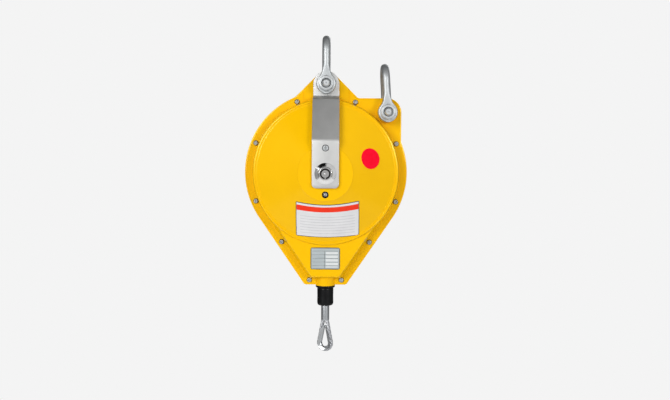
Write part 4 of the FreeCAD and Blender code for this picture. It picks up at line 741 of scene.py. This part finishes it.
def retaining_rings():
    """A flat section with rounded edges carried round the shaft's groove, open by a narrow gap below."""
    outer = half_width(CLIP_LOW, CLIP_HIGH)
    angle = np.linspace(CLIP_GAP / 2, TURN - CLIP_GAP / 2, 120)[:, None] - np.pi / 2
    section = rounded_rectangle(outer - CLIP_INNER, CLIP_THICKNESS, 0.3, arc=4, side=3)
    radius, level = section[:, 0] + (outer + CLIP_INNER) / 2, section[:, 1]
    rows = np.stack([np.cos(angle) * radius, np.ones((120, 1)) * level, np.sin(angle) * radius], axis=-1)
    depth = CLIP_HIGH[1] - CLIP_THICKNESS / 2
    skins = [capped(rows + SHAFT + (0, way * depth, 0)) for way in (-1, 1)]
    settle(piece_of("retaining_rings", *skins), "casing", "black_steel", "shaft_circlips")


# Rope end

def on_rope(profile):
    """A profile turned about the rope's line."""
    return turned_rows(profile, (SHAFT[0], 0, 0), "z")


def outlet_collar():
    """The outlet bush: a flange under the nozzle, a neck in it and a flared mouth above."""
    flange = half_width(OUTLET_LOW, OUTLET_HIGH)
    low, top = OUTLET_LOW[2], OUTLET_HIGH[2]
    under = low + OUTLET_FLANGE
    profile = rounded_line([(OUTLET_BORE, low + 3), (OUTLET_BORE, low), (flange, low), (flange, under),
                            (OUTLET_NECK, under), (OUTLET_NECK, top), (OUTLET_MOUTH, top),
                            (OUTLET_BORE, low + 6)], (1.2, 0.6, 0.6, 0.2, 0.4, 0.3))
    settle(piece_of("outlet_collar", capped(on_rope(profile), joined=True)), "casing", "black_nylon",
           "outlet_bush")


def rubber_stopper():
    """A barrel with rounded ends, a shade narrower at its waist."""
    radius = half_width(STOPPER_LOW, STOPPER_HIGH)
    low, top = STOPPER_LOW[2], STOPPER_HIGH[2]
    middle = (low + top) / 2
    profile = rounded_line([(STOPPER_BORE, middle), (STOPPER_BORE, low), (radius - 0.8, low),
                            (radius, low + 3.2), (radius - STOPPER_WAIST, middle), (radius, top - 1.6),
                            (radius - 0.4, top), (STOPPER_BORE, top)], (0.6, 1.8, 2.0, 30.0, 1.0, 0.8))
    settle(piece_of("rubber_stopper", capped(on_rope(profile), joined=True)), "rope_end", "stopper_rubber",
           "rope_stopper")


def pressed_sleeve():
    """A turned tube with two press ridges: the radius grows by a narrow hump on two opposite sides."""
    radius = half_width(SLEEVE_LOW, SLEEVE_HIGH)
    low, top = SLEEVE_LOW[2], SLEEVE_HIGH[2]
    barrel = radius - SLEEVE_RIDGE
    profile = rounded_line([(SLEEVE_BORE, top - 4), (SLEEVE_BORE, top), (barrel, top), (barrel, low),
                            (0.4, low), (0.4, low + 3)], (0.2, 0.9, 0.9, 0.1))
    rows = on_rope(profile)
    out = rows - (SHAFT[0], 0, 0)
    angle = np.arctan2(out[..., 1], out[..., 0])
    wide = np.hypot(out[..., 0], out[..., 1])
    hump = np.exp(-(np.sin(angle - LOOP_YAW + np.pi / 2) / SLEEVE_RIDGE_WIDTH) ** 2)
    ridge = SLEEVE_RIDGE * hump * (wide > radius - 0.3)
    rows[..., :2] += out[..., :2] * (ridge / wide)[..., None]
    settle(piece_of("pressed_sleeve", capped(rows, joined=True)), "rope_end", "swage_aluminium",
           "swage_sleeve")


def rope_ring(distance, around):
    """Distance of the rope's skin from its axis, over run and angle: six strands on a core, each a circle
    of a third of the rope's radius set two thirds out, with the wires of a strand as small ripples."""
    angle = all_round(around)
    turn = angle - TURN * distance[:, None] / ROPE_LAY
    strand = (turn + np.pi / 6) % (np.pi / 3) - np.pi / 6
    set_out, thick = 2 * ROPE_RADIUS / 3, ROPE_RADIUS / 3
    skin = set_out * np.cos(strand) + np.sqrt(np.clip(thick ** 2 - (set_out * np.sin(strand)) ** 2, 0, None))
    skin = np.maximum(skin, ROPE_CORE * ROPE_RADIUS)
    local = np.arctan2(skin * np.sin(strand), skin * np.cos(strand) - set_out)
    wires = np.abs(np.sin(WIRES / 2 * (local + TURN * distance[:, None] / WIRE_LAY)))
    return angle, skin - WIRE_RIPPLE * (1 - wires)


def hanging_rope():
    """The rope from the outlet to the sleeve. Its rings lie where they come out evenly once the rope is
    paid out, and it is twisted by its paid-out length, so the lay is true when it is long."""
    length = FALL_HIGH[2] - FALL_LOW[2]
    share = np.linspace(0, 1, 4001)
    paid_out = length * share + ROPE_PULL * smooth(0, 1, share)
    along = np.linspace(0, paid_out[-1], 520)
    angle, skin = rope_ring(along, 48)
    drop = np.interp(along, paid_out, share) * length
    rows = np.stack([SHAFT[0] + skin * np.cos(angle), skin * np.sin(angle),
                     np.broadcast_to((FALL_HIGH[2] - drop)[:, None], skin.shape)], axis=-1)
    piece = piece_of("hanging_rope", capped(rows), crease=80)
    piece.data.materials.append(FINISHES["wire_rope"])
    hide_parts("rope_fall")
    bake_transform(piece)


def loop_path(bend, spread, top, steps):
    """A teardrop in a plane: from the top down one straight leg that touches the round end, round it, and
    up the other. Gives across and up, the way ahead and the run."""
    slope = math.asin(bend / math.hypot(spread, top)) - math.atan2(spread, top)
    swing = np.linspace(-slope, np.pi + slope, steps)
    round_end = -bend * heading(swing)
    share = np.linspace(0, 1, steps // 3)[:-1, None]
    leg = (1 - share) * np.array([-spread, top]) + share * round_end[0]
    line = np.vstack([leg, round_end, leg[::-1] * (-1, 1)])
    ahead = unit(np.gradient(line, axis=0))
    step = np.linalg.norm(np.diff(line, axis=0), axis=1)
    return line, ahead, np.concatenate([[0], np.cumsum(step)])


def in_loop_plane(across, deep, up):
    """Turn the loop's plane about the rope and carry it to the eye."""
    centre = EYE_LOW[2] + LOOP_BEND + ROPE_RADIUS
    x = across * math.cos(LOOP_YAW) + deep * math.sin(LOOP_YAW)
    y = -across * math.sin(LOOP_YAW) + deep * math.cos(LOOP_YAW)
    return np.stack([SHAFT[0] + x, y, centre + up], axis=-1)


def rope_eye():
    """The rope's strands carried round the loop."""
    top = EYE_HIGH[2] - EYE_LOW[2] - LOOP_BEND - ROPE_RADIUS
    line, ahead, run = loop_path(LOOP_BEND, LOOP_SPREAD, top, 120)
    angle, skin = rope_ring(run, 84)
    side, deep = skin * np.cos(angle), skin * np.sin(angle)
    rows = in_loop_plane(line[:, :1] - ahead[:, 1:] * side, deep, line[:, 1:] + ahead[:, :1] * side)
    settle(piece_of("rope_eye_strands", capped(rows), crease=80), "rope_end", "wire_rope", "rope_eye")


def rope_thimble():
    """A pressed channel that lines the loop: an arc round the rope's inner side with rolled lips, its
    lips dying away towards the two tips."""
    top = EYE_HIGH[2] - EYE_LOW[2] - LOOP_BEND - ROPE_RADIUS
    tips = top - THIMBLE_TIP_GAP
    line, ahead = loop_path(LOOP_BEND, LOOP_SPREAD, top, 90)[:2]
    keep = line[:, 1] < tips
    line, ahead = line[keep], ahead[keep]
    reach = smooth(-2.0, 9.0, tips - line[:, 1])[:, None]
    across = np.linspace(-1, 1, 31)
    swing = (0.5 + 1.15 * reach) * across
    lip = THIMBLE_LIP * reach * smooth(0.75, 1.0, np.abs(across))
    groove = ROPE_RADIUS + THIMBLE_SEAT + lip
    back = ROPE_RADIUS + THIMBLE_BACK - THIMBLE_HOLLOW * np.sin(swing) ** 2 + lip
    near, far = groove[..., None] * heading(swing), back[..., None] * heading(swing)
    section = np.concatenate([near, far[:, ::-1]], axis=1)
    inward, deep = section[..., 0], section[..., 1]
    rows = in_loop_plane(line[:, :1] - ahead[:, 1:] * inward, deep, line[:, 1:] + ahead[:, :1] * inward)
    settle(piece_of("rope_thimble", capped(rows), crease=60), "rope_end", "thimble_steel", "thimble")


# Finishes

class Wiring:
    """A node tree and short ways to add to it."""

    def __init__(self, tree):
        self.tree = tree

    def node(self, kind, *values):
        """A node with its first inputs set to numbers or wired to sockets."""
        made = self.tree.nodes.new("ShaderNode" + kind)
        for target, value in zip(made.inputs, values):
            if isinstance(value, bpy.types.NodeSocket):
                self.tree.links.new(value, target)
            elif value is not None:
                target.default_value = value
        return made

    def math(self, operation, *values):
        """One operation on numbers or sockets."""
        made = self.node("Math", *values)
        made.operation = operation
        return made.outputs[0]

    def spread(self, factor, low, high, start=0.3, stop=0.7):
        """Carry a stretch of a factor over to low and high."""
        return self.node("MapRange", factor, start, stop, low, high).outputs[0]


class Finish(Wiring):
    """A Principled shader and the patterns that vary it over a surface."""

    def __init__(self, name, **fixed):
        self.material = bpy.data.materials.new(name)
        self.material.use_nodes = True
        super().__init__(self.material.node_tree)
        self.shader = self.tree.nodes["Principled BSDF"]
        for socket, value in fixed.items():
            self.shader.inputs[socket.replace("_", " ")].default_value = value

    def place(self, stretch=(1, 1, 1), centre=(0, 0, 0)):
        """Object coordinates, moved to a centre in millimetres and stretched."""
        mapping = self.node("Mapping", self.node("TexCoord").outputs["Object"])
        mapping.vector_type = "POINT"
        mapping.inputs["Location"].default_value = [-c * MM * s for c, s in zip(centre, stretch)]
        mapping.inputs["Scale"].default_value = stretch
        return mapping.outputs[0]

    def noise(self, size, detail=3.0, stretch=(1, 1, 1)):
        """Cloudy noise with grains of a size in millimetres."""
        made = self.node("TexNoise", self.place(stretch))
        made.inputs["Scale"].default_value = 1 / (size * MM)
        made.inputs["Detail"].default_value = detail
        return made.outputs[0]

    def colours(self, factor, low, high, start=0.3, stop=0.7):
        """Blend two colours over a stretch of a factor."""
        made = self.node("ValToRGB", factor)
        for element, place, colour in zip(made.color_ramp.elements, (start, stop), (low, high)):
            element.position = place
            element.color = (*colour, 1)
        return made.outputs[0]

    def choose(self, factor, low, high):
        """One colour or the other by a factor."""
        made = self.node("Mix")
        made.data_type = "RGBA"
        self.tree.links.new(factor, made.inputs["Factor"])
        for name, value in (("A", low), ("B", high)):
            target = [s for s in made.inputs if s.name == name and s.type == "RGBA"][0]
            if isinstance(value, bpy.types.NodeSocket):
                self.tree.links.new(value, target)
            else:
                target.default_value = (*value, 1)
        return [s for s in made.outputs if s.type == "RGBA"][0]

    def wire(self, **sources):
        """Join patterns to the shader's inputs."""
        for socket, source in sources.items():
            self.tree.links.new(source, self.shader.inputs[socket.replace("_", " ")])

    def bump(self, height, depth):
        """Raise the surface by a height pattern, to a depth in millimetres."""
        made = self.tree.nodes.new("ShaderNodeBump")
        made.inputs["Distance"].default_value = depth * MM
        self.tree.links.new(height, made.inputs["Height"])
        self.wire(Normal=made.outputs[0])


def enamel(name, low, high):
    """Glossy paint on a casting: faint clouds of colour and the ripple of a sprayed coat."""
    finish = Finish(name, Specular_IOR_Level=0.5, Specular_Tint=(1, 0.86, 0.3, 1))
    clouds = finish.noise(38, 4)
    ripple = finish.noise(3.2, 1)
    finish.wire(Base_Color=finish.colours(clouds, low, high), Roughness=finish.spread(ripple, 0.18, 0.23))
    finish.bump(ripple, 0.002)
    return finish.material


def bare_metal(name, low, high, rough, grain, stretch=(1, 1, 1), depth=0.02, **fixed):
    """Metal with a grain: the same streaks or specks vary its colour, its roughness and its height."""
    finish = Finish(name, Metallic=1.0, **fixed)
    streaks = finish.noise(grain, 5, stretch)
    clouds = finish.noise(14, 3)
    shade = finish.math("MULTIPLY_ADD", streaks, 0.5, finish.math("MULTIPLY", clouds, 0.5))
    finish.wire(Base_Color=finish.colours(shade, low, high), Roughness=finish.spread(streaks, *rough))
    finish.bump(streaks, depth)
    return finish.material


def turned_metal(name, low, high, rough):
    """Polished turned steel: fine rings about the shaft under a cloudy polish."""
    finish = Finish(name, Metallic=1.0)
    rings = finish.node("TexWave", finish.place(centre=SHAFT), 1 / (0.9 * MM), 1.2, 2.0)
    rings.wave_type = "RINGS"
    rings.rings_direction = "Y"
    clouds = finish.noise(9, 3)
    finish.wire(Base_Color=finish.colours(clouds, low, high), Roughness=finish.spread(clouds, *rough))
    finish.bump(rings.outputs[0], 0.006)
    return finish.material


def moulded(name, low, high, rough, grain, depth, **fixed):
    """Plastic, rubber or blackened steel: a fine skin grain and faint bloom."""
    finish = Finish(name, **fixed)
    skin = finish.noise(grain, 3)
    bloom = finish.noise(11, 4)
    finish.wire(Base_Color=finish.colours(bloom, low, high), Roughness=finish.spread(bloom, *rough))
    finish.bump(skin, depth)
    return finish.material


def across_and_up(finish):
    """The sheet's own coordinates, 0 to 1 across and up."""
    parts = finish.node("SeparateXYZ", finish.node("TexCoord").outputs["UV"])
    return parts.outputs[0], parts.outputs[1]


def within(finish, value, low, high):
    """1 between two values, else 0."""
    above, below = finish.math("GREATER_THAN", value, low), finish.math("LESS_THAN", value, high)
    return finish.math("MULTIPLY", above, below)


def inside(finish, across, up, left, right, low, high):
    """1 in a rectangle of the sheet, else 0."""
    return finish.math("MULTIPLY", within(finish, across, left, right), within(finish, up, low, high))


def label_print(name):
    """White film with a dark hairline border, one plain red band and faint ruling below it."""
    finish = Finish(name, Specular_IOR_Level=0.25)
    across, up = across_and_up(finish)
    clouds = finish.noise(16, 3)
    paper = finish.colours(clouds, (0.72, 0.72, 0.735), (0.77, 0.77, 0.78))
    rows = finish.math("FRACT", finish.math("MULTIPLY", up, 12.0))
    ruled = finish.math("MULTIPLY", within(finish, rows, 0.42, 0.56),
                        inside(finish, across, up, 0.07, 0.93, 0.06, 0.7))
    ink = finish.math("MULTIPLY", ruled, finish.spread(finish.noise(5, 2), 0.35, 0.6))
    printed = finish.choose(ink, paper, (0.3, 0.3, 0.33))
    band = inside(finish, across, up, 0.012, 0.988, 0.775, 0.925)
    printed = finish.choose(band, printed, finish.colours(clouds, (0.86, 0.028, 0.006), (0.92, 0.04, 0.01)))
    border = finish.math("SUBTRACT", 1.0, inside(finish, across, up, 0.011, 0.989, 0.018, 0.982))
    finish.wire(Base_Color=finish.choose(border, printed, (0.06, 0.055, 0.05)),
                Roughness=finish.spread(clouds, 0.36, 0.48))
    finish.bump(finish.noise(1.4, 2), 0.01)
    return finish.material


def sticker_print(name):
    """Red film with the faint mottle of a printed solid."""
    finish = Finish(name, Specular_IOR_Level=0.08)
    mottle = finish.noise(3.5, 4)
    finish.wire(Base_Color=finish.colours(mottle, (0.93, 0.0, 0.02), (0.99, 0.002, 0.03)),
                Roughness=finish.spread(mottle, 0.4, 0.52))
    finish.bump(finish.noise(1.2, 2), 0.01)
    return finish.material


def foil_print(name):
    """Brushed foil with a dark rim line, a blank heading, five ruled rows and blank pale fields."""
    finish = Finish(name, Metallic=0.3)
    across, up = across_and_up(finish)
    streaks = finish.noise(0.5, 4, (0.04, 1, 1))
    foil = finish.colours(streaks, (0.41, 0.465, 0.48), (0.52, 0.57, 0.585))
    rows = finish.math("FRACT", finish.math("MULTIPLY", up, 6.0))
    field = finish.math("MULTIPLY", within(finish, rows, 0.14, 0.86),
                        inside(finish, across, up, 0.52, 0.93, 0.09, 0.8))
    printed = finish.choose(field, foil, (0.74, 0.77, 0.77))
    ruled = finish.math("MULTIPLY", finish.math("LESS_THAN", rows, 0.07),
                        inside(finish, across, up, 0.06, 0.94, 0.05, 0.86))
    upright = inside(finish, across, up, 0.47, 0.48, 0.05, 0.84)
    lines = finish.math("MAXIMUM", ruled, upright)
    printed = finish.choose(lines, printed, (0.07, 0.08, 0.08))
    border = finish.math("SUBTRACT", 1.0, inside(finish, across, up, 0.028, 0.972, 0.037, 0.963))
    finish.wire(Base_Color=finish.choose(border, printed, (0.09, 0.1, 0.09)),
                Roughness=finish.spread(streaks, 0.32, 0.46))
    finish.bump(streaks, 0.01)
    return finish.material


FINISHES = {
    "yellow_paint": enamel("yellow_paint", (0.9, 0.495, 0.0), (0.93, 0.52, 0.0005)),
    "strap_steel": bare_metal("strap_steel", (0.525, 0.525, 0.517), (0.63, 0.63, 0.622), (0.44, 0.56), 2.0,
                              (8, 8, 0.12), 0.004),
    "zinc_plate": bare_metal("zinc_plate", (0.45, 0.475, 0.485), (0.57, 0.585, 0.59), (0.48, 0.58), 1.6,
                             depth=0.003),
    "polished_steel": turned_metal("polished_steel", (0.74, 0.74, 0.74), (0.84, 0.84, 0.83), (0.06, 0.11)),
    "black_steel": moulded("black_steel", (0.006, 0.006, 0.007), (0.014, 0.013, 0.013), (0.34, 0.5), 0.8,
                           0.01, Specular_IOR_Level=0.15),
    "bronze": bare_metal("bronze", (0.5, 0.29, 0.1), (0.66, 0.42, 0.18), (0.26, 0.42), 1.2),
    "cast_aluminium": bare_metal("cast_aluminium", (0.5, 0.51, 0.52), (0.66, 0.67, 0.68), (0.4, 0.58), 0.9,
                                 depth=0.05),
    "spring_steel": bare_metal("spring_steel", (0.14, 0.17, 0.25), (0.3, 0.31, 0.34), (0.22, 0.38), 1.5,
                               (1, 0.1, 1)),
    "wire_rope": bare_metal("wire_rope", (0.4, 0.41, 0.43), (0.62, 0.63, 0.65), (0.46, 0.58), 0.7,
                            depth=0.003),
    "swage_aluminium": bare_metal("swage_aluminium", (0.52, 0.55, 0.57), (0.66, 0.68, 0.7), (0.26, 0.38), 1.1,
                                  (3, 3, 0.3), 0.008),
    "thimble_steel": bare_metal("thimble_steel", (0.5, 0.52, 0.53), (0.62, 0.63, 0.64), (0.3, 0.38), 1.4,
                                depth=0.003),
    "black_nylon": moulded("black_nylon", (0.003, 0.003, 0.0035), (0.006, 0.006, 0.007), (0.34, 0.46), 0.5,
                           0.01, Specular_IOR_Level=0.15),
    "stopper_rubber": moulded("stopper_rubber", (0.002, 0.0023, 0.0026), (0.004, 0.0045, 0.005), (0.34, 0.4),
                              0.6, 0.002, Specular_IOR_Level=0.2),
    "label_film": label_print("label_film"),
    "sticker_film": sticker_print("sticker_film"),
    "plate_foil": foil_print("plate_foil"),
}


def dress_nodes():
    """Every CAD node takes the finish of its slot in the record."""
    for part in frame["record"]["subparts"]:
        mesh = frame["nodes"][part["node"]].data
        mesh.materials.clear()
        mesh.materials.append(FINISHES[part["material_slot"]])


# Studio, with lengths in metres and the lens in millimetres

PALE = 0.905
EVEN_LIGHT = 0.43
FLOOR_GLOW = 0.94
FLOOR_GLOW_SHARE = 0.85
FLOOR_PAPER = 0.86
ROOM_AXIS = (0.1, -0.985, 0.1)
ROOM_SHADES = ((0.0, PALE), (0.03, 0.5), (0.07, 0.06), (0.36, 0.05), (0.5, 0.2), (0.68, 0.3), (0.77, 0.33),
               (0.805, 0.7), (0.86, 0.7), (0.895, 0.38), (0.94, 0.42), (1.0, 0.46))
ROOM_RIGHT = 0.08
ROOM_RIGHT_EDGES = (0.25, 0.95)
ROOM_LOW = 0.2
ROOM_LOW_EDGES = (-0.2, -0.9)
DARK_GAP = (-0.29, -0.64, 0.71)
DARK_GAP_EDGES = (math.cos(math.radians(24)), math.cos(math.radians(19)))
DARK_GAP_SHADE = 0.01
FLOOR_DROP = -1.78
FLOOR_RADIUS = 2.8
FLOOR_SIDES = 64
CAMERA_PLACE = Vector((0.0115, -0.927, -0.132))
CAMERA_LENS = 40.0
CAMERA_SENSOR = 36.0
CAMERA_PITCH = math.radians(3.73)
CAMERA_ROLL = math.radians(0.36)

# Name, place, size and power in watts
LAMPS = (("key_lamp", (-1.3, -2.1, 0.5), 1.15, 35),
         ("fill_lamp", (1.4, -2.1, 0.3), 0.52, 19),
         ("back_lamp", (0.7, 2.3, 0.7), 1.6, 16))


def studio_camera():
    """In front of the object and a little above its middle, pitched down and rolled slightly."""
    data = bpy.data.cameras.new("camera")
    data.lens = CAMERA_LENS
    data.sensor_width = CAMERA_SENSOR
    data.clip_start = 0.01
    camera = bpy.data.objects.new("camera", data)
    tilt = Matrix.Rotation(math.pi / 2 - CAMERA_PITCH, 4, "X")
    roll = Matrix.Rotation(CAMERA_ROLL, 4, "Z")
    camera.matrix_world = Matrix.Translation(CAMERA_PLACE) @ tilt @ roll
    bpy.context.scene.collection.objects.link(camera)
    bpy.context.scene.camera = camera


def soft_lamp(name, place, size, power):
    """A square lamp that points at the shaft."""
    data = bpy.data.lights.new(name, "AREA")
    data.shape = "SQUARE"
    data.size = size
    data.energy = power
    lamp = bpy.data.objects.new(name, data)
    lamp.location = place
    aim = Vector(SHAFT * MM) - Vector(place)
    lamp.rotation_euler = aim.to_track_quat("-Z", "Y").to_euler()
    bpy.context.scene.collection.objects.link(lamp)


def room_brightness(wiring):
    """What metal sees: a pale wall behind the object, a dim ring round it and a grey card behind the camera
    with a bright hoop round it, lifted on the right and below, with one dark gap above on the left."""
    direction = wiring.node("TexCoord").outputs["Generated"]
    facing, gap = (wiring.node("VectorMath", direction, axis) for axis in (ROOM_AXIS, DARK_GAP))
    facing.operation = gap.operation = "DOT_PRODUCT"
    ring = wiring.node("ValToRGB", wiring.math("MULTIPLY_ADD", facing.outputs["Value"], 0.5, 0.5))
    stops = ring.color_ramp.elements
    for place, grey in ROOM_SHADES[1:-1]:
        stops.new(place)
    for stop, (place, grey) in zip(stops, ROOM_SHADES):
        stop.position = place
        stop.color = (grey, grey, grey, 1)
    parts = wiring.node("SeparateXYZ", direction)
    right = wiring.spread(parts.outputs[0], 0.0, ROOM_RIGHT, *ROOM_RIGHT_EDGES)
    low = wiring.spread(parts.outputs[2], 0.0, ROOM_LOW, *ROOM_LOW_EDGES)
    lifted = wiring.math("ADD", ring.outputs[0], wiring.math("ADD", right, low))
    shade = wiring.spread(gap.outputs["Value"], 1.0, DARK_GAP_SHADE, *DARK_GAP_EDGES)
    return wiring.math("MULTIPLY", lifted, shade)


def studio_world():
    """Pale to the eye and through glass, the room to mirrors, and a softer even light to all else."""
    world = bpy.data.worlds.new("studio")
    world.use_nodes = True
    bpy.context.scene.world = world
    world.node_tree.nodes.clear()
    wiring = Wiring(world.node_tree)
    rays = wiring.node("LightPath").outputs
    backdrop = wiring.node("Background", (PALE, PALE, PALE, 1), 1.0)
    room = wiring.node("Background", room_brightness(wiring), 1.0)
    even = wiring.node("Background", (1, 1, 1, 1), EVEN_LIGHT)
    mirrored = wiring.node("MixShader", rays["Is Glossy Ray"], even.outputs[0], room.outputs[0])
    seen = wiring.math("MAXIMUM", rays["Is Camera Ray"], rays["Is Transmission Ray"])
    mix = wiring.node("MixShader", seen, mirrored.outputs[0], backdrop.outputs[0])
    wiring.node("OutputWorld", mix.outputs[0])


def studio_floor():
    """A round pale floor that glows to the eye as the walls do and keeps part of its shade."""
    angle = all_round(FLOOR_SIDES)
    level = np.full(FLOOR_SIDES, FLOOR_DROP)
    rim = np.stack([FLOOR_RADIUS * np.cos(angle), FLOOR_RADIUS * np.sin(angle), level], axis=-1)
    mesh = bpy.data.meshes.new("floor")
    mesh.from_pydata(rim.tolist(), [], [list(range(FLOOR_SIDES))])
    floor = bpy.data.objects.new("floor", mesh)
    bpy.context.scene.collection.objects.link(floor)
    material = bpy.data.materials.new("floor_paper")
    material.use_nodes = True
    wiring = Wiring(material.node_tree)
    paper = material.node_tree.nodes["Principled BSDF"]
    paper.inputs["Base Color"].default_value = (FLOOR_PAPER, FLOOR_PAPER, FLOOR_PAPER, 1)
    paper.inputs["Roughness"].default_value = 0.9
    rays = wiring.node("LightPath").outputs
    seen = wiring.math("MAXIMUM", rays["Is Camera Ray"],
                       wiring.math("MAXIMUM", rays["Is Glossy Ray"], rays["Is Transmission Ray"]))
    glow = wiring.node("Emission", (FLOOR_GLOW, FLOOR_GLOW, FLOOR_GLOW, 1))
    share = wiring.math("MULTIPLY", seen, FLOOR_GLOW_SHARE)
    mix = wiring.node("MixShader", share, paper.outputs[0], glow.outputs[0])
    wiring.tree.links.new(mix.outputs[0], wiring.tree.nodes["Material Output"].inputs["Surface"])
    mesh.materials.append(material)


def studio():
    """Camera, room, floor and lamps, with colours shown as they are."""
    bpy.context.scene.view_settings.view_transform = "Standard"
    studio_camera()
    studio_world()
    studio_floor()
    for lamp in LAMPS:
        soft_lamp(*lamp)


dress_nodes()
casing_films()
dome_rims()
flange_edges()
hanger_straps()
shackles()
casing_screws()
screw_shade_rings()
lock_screw()
strap_screws()
ring_nuts()
retaining_rings()
outlet_collar()
rubber_stopper()
pressed_sleeve()
hanging_rope()
rope_eye()
rope_thimble()
studio()
